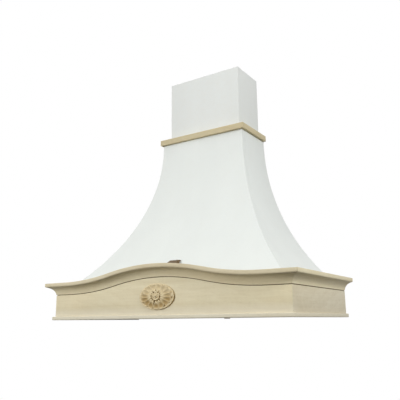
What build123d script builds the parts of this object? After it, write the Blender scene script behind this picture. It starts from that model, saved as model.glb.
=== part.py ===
"""Wooden range hood cover: a skirt with a serpentine crown, a flared bell, a neck trim and a chimney.

The cover hangs on a wall over a cooker. Its skirt is a box of three frieze boards with a cove crown
on top and a bead below. A deck board closes the skirt and carries the bell, three curved boards glued
over plywood ribs. The chimney stands inside the neck of the bell and is drawn up to meet the ceiling.

Millimetres. The origin is on the wall, in the middle of the cover's width, level with its underside.
+X is to the right seen from the front, +Y goes into the wall, +Z is up.
"""

import os
from math import asin, atan2, cos, degrees, pi, sin, sqrt

from build123d import *

# Skirt: three frieze boards between the wall and the cooker side
skirt_width = 900.0
skirt_depth = 440.0
frieze_height = 85.5
board_thickness = 18.0

# Serpentine line along which the front crown rises over the rosette
crest_rise = 41.0
wave_half_width = 377.0
crest_radius = 794.0

# Crown moulding, from its joint with the frieze upwards
crown_projection = 29.7
quirk_depth = 2.0
quirk_height = 2.0
cove_lip = 1.0
cove_rise = 24.8
cove_hollow = 5.6
step_height = 1.0
ovolo_flat = 2.4
ovolo_radius = 4.2
nose_height = 9.2

# Bead round the foot of the skirt
bead_projection = 8.0
bead_height = 12.0
bead_round = 2.5

# Deck board that carries the bell, and what it rests on
deck_thickness = 18.0
deck_rise = 3.0
deck_side_ledge = 28.0
deck_front_ledge = 33.0
deck_wall_strip = 40.0
cleat_size = 18.0

# Board that takes the extractor insert
insert_board_recess = 12.0
insert_board_thickness = 18.0
insert_width = 698.0
insert_depth = 258.0
insert_from_wall = 66.0
insert_hole_edge = 12.0
insert_hole_pitch = 180.0
insert_hole_radius = 1.75

# Bell
neck_height = 665.0
neck_width = 348.0
neck_depth = 177.0
bell_side_setback = 49.0
bell_front_setback = 52.0
skin_thickness = 18.0

# Ribs and former inside the bell
rib_thickness = 18.0
rib_depth = 35.0
front_rib_pitch = 115.0
side_rib_from_wall = 110.0
former_thickness = 18.0
former_below_neck = 160.0
former_ledge = 10.0
arris_batten_depth = 22.0
glue_gap = 0.2

# Trim round the neck
trim_height = 21.7
trim_projection = 9.5
trim_round = 1.5

# Chimney
cover_height = 925.0
chimney_clearance = 3.0
trim_clearance = 1.5
seat_gap = 0.3
chimney_board = 12.0
chimney_batten = 18.0
batten_setback = 20.0
spreader_height = 40.0
arris_round = 1.0

# Wall and ceiling fixings
wall_rail_thickness = 18.0
wall_rail_relief = 4.5
wall_rail_tab = 16.0
upper_rail_height = 60.0
upper_rail_drop = 30.0
wall_hole_radius = 3.5
lower_wall_hole_pitch = 600.0
upper_wall_hole_pitch = 160.0
ceiling_hole_radius = 2.25
ceiling_hole_pitch = 200.0

# Corner blocks, crest block, rosette and screws
corner_block_leg = 40.0
crest_block_width = 38.0
crest_block_rise = 21.3
crest_block_ledge = 8.3
crest_block_foot = 20.0
rosette_width = 134.0
rosette_height = 81.0
rosette_centre_height = 67.5
rosette_rim = 5.0
rosette_field = 9.2
rosette_thickness = 11.0
rosette_lip = 2.5
rosette_button_radius = 8.0
button_chamfer = 1.0
petal_count = 15
flute_side = 3.6
flute_fall = 3.0
screw_radius = 2.0
screw_head_radius = 4.0
screw_head_height = 2.2
screw_clearance = 0.2
screw_length = 32.0
screws_along_front = 2
screws_along_side = 2

# Worked out from the sizes above
half_width = skirt_width / 2
inner_half_width = half_width - board_thickness
skirt_inner_depth = skirt_depth - board_thickness
cove_height = quirk_height + cove_rise
crown_height = cove_height + step_height + ovolo_radius + nose_height
deck_top = frieze_height + crown_height + deck_rise
deck_bottom = deck_top - deck_thickness
insert_board_top = insert_board_recess + insert_board_thickness
neck_half = neck_width / 2
bell_height = neck_height - deck_top
bell_side_run = half_width - bell_side_setback - neck_half
bell_front_run = skirt_depth - bell_front_setback - neck_depth
bell_side_radius = (bell_height**2 + bell_side_run**2) / (2 * bell_side_run)
bell_front_radius = (bell_height**2 + bell_front_run**2) / (2 * bell_front_run)
bell_build = skin_thickness + rib_depth
behind_skin = skin_thickness + glue_gap
deck_opening_half = neck_half + bell_side_run - bell_build - deck_side_ledge
deck_opening_depth = neck_depth + bell_front_run - bell_build - deck_front_ledge - deck_wall_strip
crest_block_top = frieze_height + crest_rise + crown_height + crest_block_rise
crest_block_drop = neck_height - crest_block_top
bell_depth_there = neck_depth + bell_front_radius - sqrt(bell_front_radius**2 - crest_block_drop**2)
crest_block_reach = bell_depth_there + crest_block_ledge
former_top = neck_height - former_below_neck
former_bottom = former_top - former_thickness
chimney_half = neck_half - skin_thickness - chimney_clearance
chimney_depth = neck_depth - skin_thickness - chimney_clearance
chimney_inner_half = chimney_half - chimney_board
chimney_inner_depth = chimney_depth - chimney_board
chimney_bottom = former_top + seat_gap
chimney_height = cover_height - chimney_bottom
trim_inward = neck_half - chimney_half - trim_clearance
upper_rail_top = former_bottom - upper_rail_drop
board_depth = skirt_inner_depth - wall_rail_thickness
board_centre = -wall_rail_thickness - board_depth / 2
cleat_line = inner_half_width - cleat_size / 2
side_cleat_length = board_depth - cleat_size
side_cleat_centre = -wall_rail_thickness - side_cleat_length / 2
sides = {"left": -1, "right": 1}

os.makedirs("parts", exist_ok=True)


def keep(part, label):
    """Labels a finished piece and writes it."""
    part.label = label
    export_step(part, f"parts/{label}.step")


def front_section(depth, height=0.0):
    """Upright plane across a front piece: its first axis points outwards from the wall."""
    return Plane(origin=(0, -depth, height), x_dir=(0, -1, 0), z_dir=(-1, 0, 0))


def side_section(side, half, height=0.0):
    """Upright plane across a side piece: its first axis points outwards from the middle."""
    return Plane(origin=(side * half, 0, height), x_dir=(side, 0, 0), z_dir=(0, -side, 0))


def front_mitre(half, depth, outward, inward):
    """Outline in plan of a front piece between its two 45 degree mitres."""
    Polyline(
        (-half - outward, -depth - outward),
        (half + outward, -depth - outward),
        (half - inward, -depth + inward),
        (-half + inward, -depth + inward),
        close=True,
    )


def side_mitre(side, half, depth, outward, inward):
    """Outline in plan of a side piece from the wall to its front mitre."""
    Polyline(
        (side * (half + outward), 0),
        (side * (half + outward), -depth - outward),
        (side * (half - inward), -depth + inward),
        (side * (half - inward), 0),
        close=True,
    )


def wave_line(end):
    """Serpentine from end to end: level, down-curved, up-curved over the crest, and back."""
    turn = 2 * atan2(crest_rise, wave_half_width)
    dip_radius = wave_half_width / sin(turn) - crest_radius
    angle = degrees(turn)
    base = frieze_height
    Line((-end, base), (-wave_half_width, base))
    CenterArc((-wave_half_width, base + dip_radius), dip_radius, 270, angle)
    CenterArc((0, base + crest_rise - crest_radius), crest_radius, 90 + angle, -2 * angle)
    CenterArc((wave_half_width, base + dip_radius), dip_radius, 270 - angle, angle)
    Line((wave_half_width, base), (end, base))


def side_screw_points(side):
    """Places of the screws along one side cleat of the insert board."""
    gap = side_cleat_length / screws_along_side
    start = side_cleat_centre - side_cleat_length / 2
    return [(side * cleat_line, start + gap * (index + 0.5)) for index in range(screws_along_side)]


def crown_profile():
    """Crown section: quirk, cove, step, ovolo and nose, over the thickness of the frieze."""
    step_top = cove_height + step_height
    ovolo_foot = crown_projection - ovolo_radius
    cove_top = ovolo_foot - ovolo_flat
    nose_foot = step_top + ovolo_radius
    Polyline(
        (crown_projection, nose_foot),
        (crown_projection, crown_height),
        (-board_thickness, crown_height),
        (-board_thickness, 0),
        (-quirk_depth, 0),
        (-quirk_depth, quirk_height),
        (cove_lip, quirk_height),
    )
    SagittaArc((cove_lip, quirk_height), (cove_top, cove_height), cove_hollow)
    Polyline((cove_top, cove_height), (cove_top, step_top), (ovolo_foot, step_top))
    CenterArc((ovolo_foot, nose_foot), ovolo_radius, 270, 90)


def bead_profile():
    """Square bead with eased outer edges."""
    with Locations((bead_projection / 2, bead_height / 2)):
        bead = Rectangle(bead_projection, bead_height)
    fillet(bead.vertices().group_by(Axis.X)[-1], bead_round)


def trim_profile():
    """Flat trim that lies on the top edges of the bell and stands proud of them."""
    with Locations(((trim_projection - trim_inward) / 2, trim_height / 2)):
        trim = Rectangle(trim_projection + trim_inward, trim_height)
    fillet(trim.vertices().group_by(Axis.X)[-1], trim_round)


def flare_angle(radius, height):
    """Angle in degrees that a flare of this radius has turned through at a height below the neck."""
    return degrees(asin((neck_height - height) / radius))


def flare_arc(neck, radius, low, high):
    """Arc of a flare from its upper to its lower end, in a section whose first axis points outwards."""
    start = flare_angle(radius, high)
    return CenterArc((neck, neck_height), radius, 180 + start, flare_angle(radius, low) - start)


def flare_band(neck, face_radius, inset, depth, low, high):
    """Curved band that lies inset inside the face of the bell and is depth thick."""
    centre = neck + face_radius
    outer = flare_arc(centre, face_radius + inset, low, high)
    inner = flare_arc(centre, face_radius + inset + depth, low, high)
    Line(outer @ 0, inner @ 0)
    Line(outer @ 1, inner @ 1)


def flare_fill(neck, face_radius, inset, low, high):
    """Everything in the section between the middle and a line that lies inset inside the bell's face."""
    edge = flare_arc(neck + face_radius, face_radius + inset, low, high)
    Polyline(edge @ 0, (0, high), (0, low), edge @ 1)


front_screw_gap = 2 * inner_half_width / screws_along_front
front_screw_points = [
    (front_screw_gap * (index + 0.5) - inner_half_width, cleat_size / 2 - skirt_inner_depth)
    for index in range(screws_along_front)
]
board_screw_points = front_screw_points + side_screw_points(-1) + side_screw_points(1)


# ---- Skirt -----------------------------------------------------------------------------------------

with BuildPart() as frieze_front:
    with BuildSketch(Plane.XZ.offset(skirt_depth)):
        with BuildLine():
            wave_line(half_width)
            Polyline(
                (half_width, frieze_height), (half_width, 0), (-half_width, 0), (-half_width, frieze_height)
            )
        make_face()
    extrude(amount=-board_thickness)
    with BuildSketch(Plane.XY):
        with BuildLine():
            front_mitre(half_width, skirt_depth, 0, board_thickness)
        make_face()
    extrude(amount=frieze_height + crest_rise, mode=Mode.INTERSECT)
keep(frieze_front.part, "frieze_front")

for name, side in sides.items():
    with BuildPart() as frieze_side:
        with BuildSketch(Plane.XY):
            with BuildLine():
                side_mitre(side, half_width, skirt_depth, 0, board_thickness)
            make_face()
        extrude(amount=frieze_height)
    keep(frieze_side.part, f"frieze_{name}")

# The front crown follows the serpentine top of the frieze; its returns are straight.
with BuildPart() as crown_front:
    with BuildLine(Plane.XZ.offset(skirt_depth)) as crown_line:
        wave_line(half_width + crown_projection)
    with BuildSketch(front_section(skirt_depth, frieze_height).offset(half_width + crown_projection)):
        with BuildLine():
            crown_profile()
        make_face()
    sweep(path=crown_line.line)
    with BuildSketch(Plane.XY):
        with BuildLine():
            front_mitre(half_width, skirt_depth, crown_projection, board_thickness)
        make_face()
    extrude(amount=frieze_height + crest_rise + crown_height, mode=Mode.INTERSECT)
keep(crown_front.part, "crown_front")

for name, side in sides.items():
    with BuildPart() as crown_side:
        with BuildSketch(side_section(side, half_width, frieze_height)):
            with BuildLine():
                crown_profile()
            make_face()
        extrude(amount=skirt_depth + crown_projection, both=True)
        with BuildSketch(Plane.XY):
            with BuildLine():
                side_mitre(side, half_width, skirt_depth, crown_projection, board_thickness)
            make_face()
        extrude(amount=frieze_height + crown_height, mode=Mode.INTERSECT)
    keep(crown_side.part, f"crown_{name}")

with BuildPart() as bead_front:
    with BuildSketch(front_section(skirt_depth)):
        bead_profile()
    extrude(amount=half_width + bead_projection, both=True)
    with BuildSketch(Plane.XY):
        with BuildLine():
            front_mitre(half_width, skirt_depth, bead_projection, 0)
        make_face()
    extrude(amount=bead_height, mode=Mode.INTERSECT)
keep(bead_front.part, "bead_front")

for name, side in sides.items():
    with BuildPart() as bead_side:
        with BuildSketch(side_section(side, half_width)):
            bead_profile()
        extrude(amount=skirt_depth + bead_projection, both=True)
        with BuildSketch(Plane.XY):
            with BuildLine():
                side_mitre(side, half_width, skirt_depth, bead_projection, 0)
            make_face()
        extrude(amount=bead_height, mode=Mode.INTERSECT)
    keep(bead_side.part, f"bead_{name}")

# Rail along the wall between the side friezes, with two wall screw holes. Its foot is cut up a little,
# apart from a short tab that marks the middle and the underside of the cover on the wall
with BuildPart() as wall_rail_lower:
    with BuildSketch(Plane.XZ):
        with Locations((0, (deck_bottom + wall_rail_relief) / 2)):
            Rectangle(2 * inner_half_width, deck_bottom - wall_rail_relief)
        with Locations((0, wall_rail_relief)):
            Rectangle(wall_rail_tab, 2 * wall_rail_relief)
        with Locations((0, deck_bottom / 2)):
            with GridLocations(lower_wall_hole_pitch, 0, 2, 1):
                Circle(wall_hole_radius, mode=Mode.SUBTRACT)
    extrude(amount=wall_rail_thickness)
keep(wall_rail_lower.part, "wall_rail_lower")

# Board across the underside, cut out for the extractor insert; pan-head screws hold it to its cleats
with BuildPart() as insert_board:
    with BuildSketch(Plane.XY.offset(insert_board_recess)):
        with Locations((0, board_centre)):
            Rectangle(2 * inner_half_width, board_depth)
        with Locations((0, -insert_from_wall - insert_depth / 2)):
            Rectangle(insert_width, insert_depth, mode=Mode.SUBTRACT)
            with GridLocations(insert_width + 2 * insert_hole_edge, insert_hole_pitch, 2, 2):
                Circle(insert_hole_radius, mode=Mode.SUBTRACT)
        with Locations(*board_screw_points):
            Circle(screw_radius, mode=Mode.SUBTRACT)
    extrude(amount=insert_board_thickness)
keep(insert_board.part, "insert_board")

with BuildPart() as board_screws:
    with BuildSketch(Plane.XY.offset(insert_board_recess)):
        with Locations(*board_screw_points):
            Circle(screw_head_radius)
    extrude(amount=-screw_head_height)
    with BuildSketch(Plane.XY.offset(insert_board_recess)):
        with Locations(*board_screw_points):
            Circle(screw_radius - screw_clearance)
    extrude(amount=screw_length)
keep(board_screws.part, "board_screws")

# Battens inside the skirt: one ring above the insert board and one under the deck
for label, base in (("board_cleat", insert_board_top), ("deck_cleat", deck_bottom - cleat_size)):
    with BuildPart() as cleat_front:
        with BuildSketch(Plane.XY.offset(base)):
            with Locations((0, cleat_size / 2 - skirt_inner_depth)):
                Rectangle(2 * inner_half_width, cleat_size)
            if base == insert_board_top:
                with Locations(*front_screw_points):
                    Circle(screw_radius, mode=Mode.SUBTRACT)
        extrude(amount=cleat_size)
    keep(cleat_front.part, f"{label}_front")

    for name, side in sides.items():
        with BuildPart() as cleat_side:
            with BuildSketch(Plane.XY.offset(base)):
                with Locations((side * cleat_line, side_cleat_centre)):
                    Rectangle(cleat_size, side_cleat_length)
                if base == insert_board_top:
                    with Locations(*side_screw_points(side)):
                        Circle(screw_radius, mode=Mode.SUBTRACT)
            extrude(amount=cleat_size)
        keep(cleat_side.part, f"{label}_{name}")

# Triangular glue blocks behind the front corners, between the two rings of battens
for name, side in sides.items():
    with BuildPart() as corner_block:
        with BuildSketch(Plane.XY.offset(insert_board_top + cleat_size)):
            with BuildLine():
                Polyline(
                    (side * inner_half_width, -skirt_inner_depth),
                    (side * (inner_half_width - corner_block_leg), -skirt_inner_depth),
                    (side * inner_half_width, corner_block_leg - skirt_inner_depth),
                    close=True,
                )
            make_face()
        extrude(amount=deck_bottom - 2 * cleat_size - insert_board_top)
    keep(corner_block.part, f"corner_block_{name}")

with BuildPart() as deck_board:
    with BuildSketch(Plane.XY.offset(deck_bottom)):
        with Locations((0, -skirt_inner_depth / 2)):
            Rectangle(2 * inner_half_width, skirt_inner_depth)
        with Locations((0, -deck_wall_strip - deck_opening_depth / 2)):
            Rectangle(2 * deck_opening_half, deck_opening_depth, mode=Mode.SUBTRACT)
    extrude(amount=deck_thickness)
keep(deck_board.part, "deck_board")

# ---- Ornament and crest block ----------------------------------------------------------------------

# Oval flower: a rim, a raised field cut into petals by flutes that deepen outwards, and a button
with BuildPart() as rosette:
    rosette_back = Plane(
        origin=(0, -skirt_depth, rosette_centre_height), x_dir=(1, 0, 0), z_dir=(0, -1, 0)
    )
    with BuildSketch(rosette_back):
        Ellipse(rosette_width / 2, rosette_height / 2)
    extrude(amount=rosette_rim)
    with BuildSketch(rosette_back):
        Ellipse(rosette_width / 2 - rosette_lip, rosette_height / 2 - rosette_lip)
    extrude(amount=rosette_field)
    for index in range(petal_count):
        angle = 2 * pi * (index + 0.5) / petal_count
        tip_x = rosette_width / 2 * cos(angle)
        tip_y = rosette_height / 2 * sin(angle)
        reach = sqrt(tip_x**2 + tip_y**2)
        along = Location((tip_x / 2, tip_y / 2), (0, flute_fall, degrees(atan2(tip_y, tip_x))))
        with Locations(rosette_back.offset(rosette_field)):
            with Locations(along):
                Box(reach, flute_side, flute_side, rotation=(45, 0, 0), mode=Mode.SUBTRACT)
    with BuildSketch(rosette_back):
        Circle(rosette_button_radius)
    extrude(amount=rosette_thickness)
    chamfer(rosette.faces().sort_by(Axis.Y)[0].edges(), button_chamfer)
keep(rosette.part, "rosette")

# Sloping block that backs the crest of the crown and is glued to the foot of the bell
with BuildPart() as crest_block:
    with BuildSketch(front_section(0)):
        with BuildLine():
            bell_face = flare_arc(
                neck_depth + bell_front_radius, bell_front_radius - glue_gap, deck_top, crest_block_top
            )
            Polyline(
                bell_face @ 0,
                (crest_block_reach, crest_block_top),
                (skirt_inner_depth, deck_top + crest_block_foot),
                (skirt_inner_depth, deck_top),
                bell_face @ 1,
            )
        make_face()
    extrude(amount=crest_block_width / 2, both=True)
keep(crest_block.part, "crest_block")

# ---- Bell ------------------------------------------------------------------------------------------

# The front board runs out to the side faces and covers the front edges of the side boards.
with BuildPart() as bell_front:
    with BuildSketch(front_section(0)):
        with BuildLine():
            flare_band(neck_depth, bell_front_radius, 0, skin_thickness, deck_top, neck_height)
        make_face()
    extrude(amount=half_width, both=True)
    with BuildSketch(side_section(1, 0)):
        with BuildLine():
            flare_fill(neck_half, bell_side_radius, 0, deck_top, neck_height)
        make_face()
        mirror(about=Plane.YZ)
    extrude(amount=skirt_depth, mode=Mode.INTERSECT)
keep(bell_front.part, "bell_front")

for name, side in sides.items():
    with BuildPart() as bell_side:
        with BuildSketch(side_section(side, 0)):
            with BuildLine():
                flare_band(neck_half, bell_side_radius, 0, skin_thickness, deck_top, neck_height)
            make_face()
        extrude(amount=side * skirt_depth)
        with BuildSketch(front_section(0)):
            with BuildLine():
                flare_fill(neck_depth, bell_front_radius, skin_thickness, deck_top, neck_height)
            make_face()
        extrude(amount=half_width, both=True, mode=Mode.INTERSECT)
    keep(bell_side.part, f"bell_{name}")

for name, place in (("left", -front_rib_pitch), ("middle", 0), ("right", front_rib_pitch)):
    with BuildPart() as rib_front:
        with BuildSketch(front_section(0).offset(-place)):
            with BuildLine():
                flare_band(neck_depth, bell_front_radius, behind_skin, rib_depth, deck_top, former_bottom)
            make_face()
        extrude(amount=rib_thickness / 2, both=True)
    keep(rib_front.part, f"rib_front_{name}")

for label, place in (("rib_side", side_rib_from_wall), ("rib_wall", rib_thickness / 2)):
    for name, side in sides.items():
        with BuildPart() as rib_side:
            with BuildSketch(side_section(side, 0).offset(side * place)):
                with BuildLine():
                    flare_band(neck_half, bell_side_radius, behind_skin, rib_depth, deck_top, former_bottom)
                make_face()
            extrude(amount=rib_thickness / 2, both=True)
        keep(rib_side.part, f"{label}_{name}")

# Battens glued into the two arrises: each is as much of a band behind the front board as lies within
# a band behind the side board, so it follows the arris down.
for name, side in sides.items():
    with BuildPart() as arris_batten:
        with BuildSketch(side_section(side, 0)):
            with BuildLine():
                flare_band(
                    neck_half, bell_side_radius, behind_skin, arris_batten_depth, deck_top, former_bottom
                )
            make_face()
        extrude(amount=side * skirt_depth)
        with BuildSketch(front_section(0)):
            with BuildLine():
                flare_band(
                    neck_depth, bell_front_radius, behind_skin, arris_batten_depth, deck_top, former_bottom
                )
            make_face()
        extrude(amount=half_width, both=True, mode=Mode.INTERSECT)
    keep(arris_batten.part, f"arris_batten_{name}")

# Rail between the wall ribs, with the upper pair of wall screws
with BuildPart() as wall_rail_upper:
    with BuildSketch(side_section(1, 0)):
        with BuildLine():
            flare_fill(
                neck_half,
                bell_side_radius,
                behind_skin + rib_depth + glue_gap,
                upper_rail_top - upper_rail_height,
                upper_rail_top,
            )
        make_face()
        mirror(about=Plane.YZ)
        with Locations((0, upper_rail_top - upper_rail_height / 2)):
            with GridLocations(upper_wall_hole_pitch, 0, 2, 1):
                Circle(wall_hole_radius, mode=Mode.SUBTRACT)
    extrude(amount=wall_rail_thickness)
keep(wall_rail_upper.part, "wall_rail_upper")

# Former on the heads of the ribs: it holds the neck in shape and the lowered chimney stands on it.
with BuildPart() as neck_former:
    with BuildSketch(side_section(1, 0)):
        with BuildLine():
            flare_fill(neck_half, bell_side_radius, behind_skin, former_bottom, former_top)
        make_face()
        mirror(about=Plane.YZ)
    extrude(amount=skirt_depth)
    with BuildSketch(front_section(0)):
        with BuildLine():
            flare_fill(neck_depth, bell_front_radius, behind_skin, former_bottom, former_top)
        make_face()
    extrude(amount=half_width, both=True, mode=Mode.INTERSECT)
    with BuildSketch(Plane.XY.offset(former_bottom)):
        duct_depth = chimney_depth - former_ledge - wall_rail_thickness
        with Locations((0, -wall_rail_thickness - duct_depth / 2)):
            Rectangle(2 * (chimney_half - former_ledge), duct_depth)
    extrude(amount=former_thickness, mode=Mode.SUBTRACT)
keep(neck_former.part, "neck_former")

# ---- Neck trim -------------------------------------------------------------------------------------

with BuildPart() as trim_front:
    with BuildSketch(front_section(neck_depth, neck_height)):
        trim_profile()
    extrude(amount=neck_half + trim_projection, both=True)
    with BuildSketch(Plane.XY.offset(neck_height)):
        with BuildLine():
            front_mitre(neck_half, neck_depth, trim_projection, trim_inward)
        make_face()
    extrude(amount=trim_height, mode=Mode.INTERSECT)
keep(trim_front.part, "trim_front")

for name, side in sides.items():
    with BuildPart() as trim_side:
        with BuildSketch(side_section(side, neck_half, neck_height)):
            trim_profile()
        extrude(amount=side * (neck_depth + trim_projection))
        with BuildSketch(Plane.XY.offset(neck_height)):
            with BuildLine():
                side_mitre(side, neck_half, neck_depth, trim_projection, trim_inward)
            make_face()
        extrude(amount=trim_height, mode=Mode.INTERSECT)
    keep(trim_side.part, f"trim_{name}")

# ---- Chimney ---------------------------------------------------------------------------------------

with BuildPart() as chimney_front:
    with BuildSketch(Plane.XY.offset(chimney_bottom)):
        with Locations((0, chimney_board / 2 - chimney_depth)):
            Rectangle(2 * chimney_half, chimney_board)
    extrude(amount=chimney_height)
    fillet(chimney_front.edges().filter_by(Axis.Z).group_by(Axis.Y)[0], arris_round)
keep(chimney_front.part, "chimney_front")

for name, side in sides.items():
    with BuildPart() as chimney_side:
        with BuildSketch(Plane.XY.offset(chimney_bottom)):
            with Locations((side * (chimney_half - chimney_board / 2), -chimney_inner_depth / 2)):
                Rectangle(chimney_board, chimney_inner_depth)
        extrude(amount=chimney_height)
    keep(chimney_side.part, f"chimney_{name}")

# Battens in the four corners, and the ceiling cleats that lie across their heads
for row, middle in (("front", chimney_batten / 2 - chimney_inner_depth), ("wall", -chimney_batten / 2)):
    for name, side in sides.items():
        with BuildPart() as chimney_corner:
            with BuildSketch(Plane.XY.offset(chimney_bottom + batten_setback)):
                with Locations((side * (chimney_inner_half - chimney_batten / 2), middle)):
                    Rectangle(chimney_batten, chimney_batten)
            extrude(amount=chimney_height - batten_setback - chimney_batten)
        keep(chimney_corner.part, f"chimney_batten_{row}_{name}")

    with BuildPart() as ceiling_cleat:
        with BuildSketch(Plane.XY.offset(cover_height - chimney_batten)):
            with Locations((0, middle)):
                Rectangle(2 * chimney_inner_half, chimney_batten)
                with GridLocations(ceiling_hole_pitch, 0, 2, 1):
                    Circle(ceiling_hole_radius, mode=Mode.SUBTRACT)
        extrude(amount=chimney_batten)
    keep(ceiling_cleat.part, f"ceiling_cleat_{row}")

# Spreader that keeps the open back of the chimney to its width
with BuildPart() as chimney_spreader:
    with BuildSketch(Plane.XY.offset(chimney_bottom + batten_setback)):
        with Locations((0, -chimney_batten / 2)):
            Rectangle(2 * (chimney_inner_half - chimney_batten), chimney_batten)
    extrude(amount=spreader_height)
keep(chimney_spreader.part, "chimney_spreader")
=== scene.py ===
"""Looks of a wooden range hood cover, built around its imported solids.

The cover is a skirt of bare boards with a serpentine crown moulding and a carved oval flower, a white
flared bell, a flat wooden trim round the neck and a white chimney that slides up in it. Every board that
shows is modelled here with eased edges and its own finish; the battens, ribs and boards inside keep their
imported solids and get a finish. Metres: +X right, +Y into the wall, +Z up, the origin on the wall.
"""

import logging
from collections.abc import Callable
from dataclasses import dataclass
from enum import Enum
from math import asin, atan2, cos, degrees, hypot, pi, radians, sin, sqrt

import bpy
from mathutils import Matrix, Vector


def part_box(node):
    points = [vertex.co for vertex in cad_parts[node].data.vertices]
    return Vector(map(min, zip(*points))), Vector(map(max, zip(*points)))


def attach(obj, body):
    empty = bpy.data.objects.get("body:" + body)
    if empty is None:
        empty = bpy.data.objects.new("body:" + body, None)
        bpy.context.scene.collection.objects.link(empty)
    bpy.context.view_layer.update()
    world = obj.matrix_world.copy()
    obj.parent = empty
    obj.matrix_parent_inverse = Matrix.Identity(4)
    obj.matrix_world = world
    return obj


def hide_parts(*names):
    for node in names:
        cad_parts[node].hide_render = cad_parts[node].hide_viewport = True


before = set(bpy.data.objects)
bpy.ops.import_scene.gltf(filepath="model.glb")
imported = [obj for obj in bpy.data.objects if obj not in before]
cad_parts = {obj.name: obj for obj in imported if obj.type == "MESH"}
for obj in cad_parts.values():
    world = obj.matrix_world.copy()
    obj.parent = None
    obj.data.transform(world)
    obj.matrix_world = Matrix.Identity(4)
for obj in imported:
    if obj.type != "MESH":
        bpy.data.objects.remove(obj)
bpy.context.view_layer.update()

logging.basicConfig(level=logging.INFO, format="%(message)s")
log = logging.getLogger("hood_cover")

UP = Vector((0.0, 0.0, 1.0))
PEN_POINT = 0.001
NEW_END = "_piece"
EDGE_STEPS = 3

Colour = tuple[float, float, float]
WHITE = (1.0, 1.0, 1.0, 1.0)
Socket = bpy.types.NodeSocket
Sockets = bpy.types.bpy_prop_collection
Given = Socket | float


class Grain(Enum):
    """Direction in which the fibres of a board run, as the turn that lays them along X."""

    ACROSS = (0.0, 0.0, 0.0)
    DEPTH = (0.0, 0.0, pi / 2)
    UPRIGHT = (0.0, pi / 2, 0.0)


class Layers(Enum):
    """Direction in which the veneers of a plywood board are stacked."""

    ACROSS = 0
    DEPTH = 1
    UPRIGHT = 2


class Side(Enum):
    """Side of the cover, seen from the front."""

    LEFT = -1
    RIGHT = 1

    @property
    def label(self) -> str:
        """Word for this side in the names of pieces."""
        return self.name.lower()


# ---- Shader bench ----


class ShaderBench:
    """Adds and joins the nodes of one material or node group."""

    def __init__(self, tree: bpy.types.NodeTree) -> None:
        """Takes the empty tree that the nodes go into."""
        self.tree = tree

    @classmethod
    def on(cls, owner: bpy.types.Material | bpy.types.World) -> "ShaderBench":
        """Opens a bench on the node tree of a material or world.

        Args:
            owner: The material or world, whose own nodes are cleared away.

        Returns:
            The bench.
        """
        owner.use_nodes = True
        owner.node_tree.nodes.clear()
        return cls(owner.node_tree)

    def add(self, kind: str, inputs: dict | None = None, **settings: object) -> bpy.types.Node:
        """Adds a node.

        Args:
            kind: Blender's name of the node type.
            inputs: Value or output socket for each input, by the input's name or number.
            **settings: Properties of the node itself.

        Returns:
            The new node.
        """
        node = self.tree.nodes.new(kind)
        for key, value in settings.items():
            setattr(node, key, value)
        for key, value in (inputs or {}).items():
            self.feed(node, key, value)
        return node

    def feed(self, node: bpy.types.Node, key: str | int, value: Given | tuple | Vector) -> None:
        """Gives an input a value, or joins an output socket to it.

        Args:
            node: Node that has the input.
            key: Name or number of the input.
            value: Number, colour or vector, or the output socket to join.
        """
        if isinstance(value, Socket):
            self.tree.links.new(value, node.inputs[key])
        else:
            node.inputs[key].default_value = value

    def noise(
        self, vector: Socket, scale: Given, detail: float, rough: float = 0.5, twist: float = 0.0
    ) -> Socket:
        """Noise round 0.5, by patches per metre, finer layers, their strength and a distortion."""
        values = {"Vector": vector, "Scale": scale, "Detail": detail, "Roughness": rough, "Distortion": twist}
        return self.add("ShaderNodeTexNoise", values).outputs["Fac"]

    def stretch(self, vector: Socket, *factors: float) -> Socket:
        """Stretches coordinates by a factor along each axis."""
        return self.add("ShaderNodeVectorMath", {0: vector, 1: factors}, operation="MULTIPLY").outputs[0]

    def spread(self, value: Given, low: float, high: float, start: float = 0.0, end: float = 1.0) -> Socket:
        """Maps the values from low to high onto those from start to end, without going past the ends."""
        values = {"Value": value, "From Min": low, "From Max": high, "To Min": start, "To Max": end}
        return self.add("ShaderNodeMapRange", values).outputs["Result"]

    def sum(self, kind: str, first: Given, second: Given = 0.0) -> Socket:
        """Joins one or two values by an operation of arithmetic."""
        return self.add("ShaderNodeMath", {0: first, 1: second}, operation=kind).outputs[0]

    def times(self, first: Given, second: Given) -> Socket:
        """Multiplies two values."""
        return self.sum("MULTIPLY", first, second)

    def plus(self, first: Given, second: Given) -> Socket:
        """Adds two values."""
        return self.sum("ADD", first, second)

    def place(self) -> Socket:
        """Coordinates in the cover's own frame."""
        return self.add("ShaderNodeTexCoord").outputs["Object"]

    def split(self, vector: Socket) -> Sockets:
        """Sockets with the three parts of a vector."""
        return self.add("ShaderNodeSeparateXYZ", {"Vector": vector}).outputs

    def turned(self, vector: Socket, grain: Grain, shift: tuple = (0.0, 0.0, 0.0)) -> Socket:
        """Turns coordinates so that the fibres of a board run along X, and shifts them."""
        values = {"Vector": vector, "Location": shift, "Rotation": grain.value}
        return self.add("ShaderNodeMapping", values).outputs[0]

    def blend(self, amount: Given, first: Socket | Colour, second: Socket | Colour) -> Socket:
        """Mixes two colours.

        Args:
            amount: Share of the second colour.
            first: Socket or colour.
            second: Socket or colour.

        Returns:
            Socket with the mixed colour.
        """
        node = self.add("ShaderNodeMix", data_type="RGBA")
        self.feed(node, 0, amount)
        self.feed(node, 6, paint(first))
        self.feed(node, 7, paint(second))
        return node.outputs[2]

    def wash(self, under: Socket | Colour, *coats: tuple[Given, float, Colour]) -> Socket:
        """Lays colours over one another.

        Args:
            under: Colour below them all.
            *coats: Mask, share where the mask is 1, and colour of each coat, from the lowest up.

        Returns:
            Socket with the colour that shows.
        """
        for mask, share, colour in coats:
            under = self.blend(self.times(mask, share), under, colour)
        return under


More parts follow.
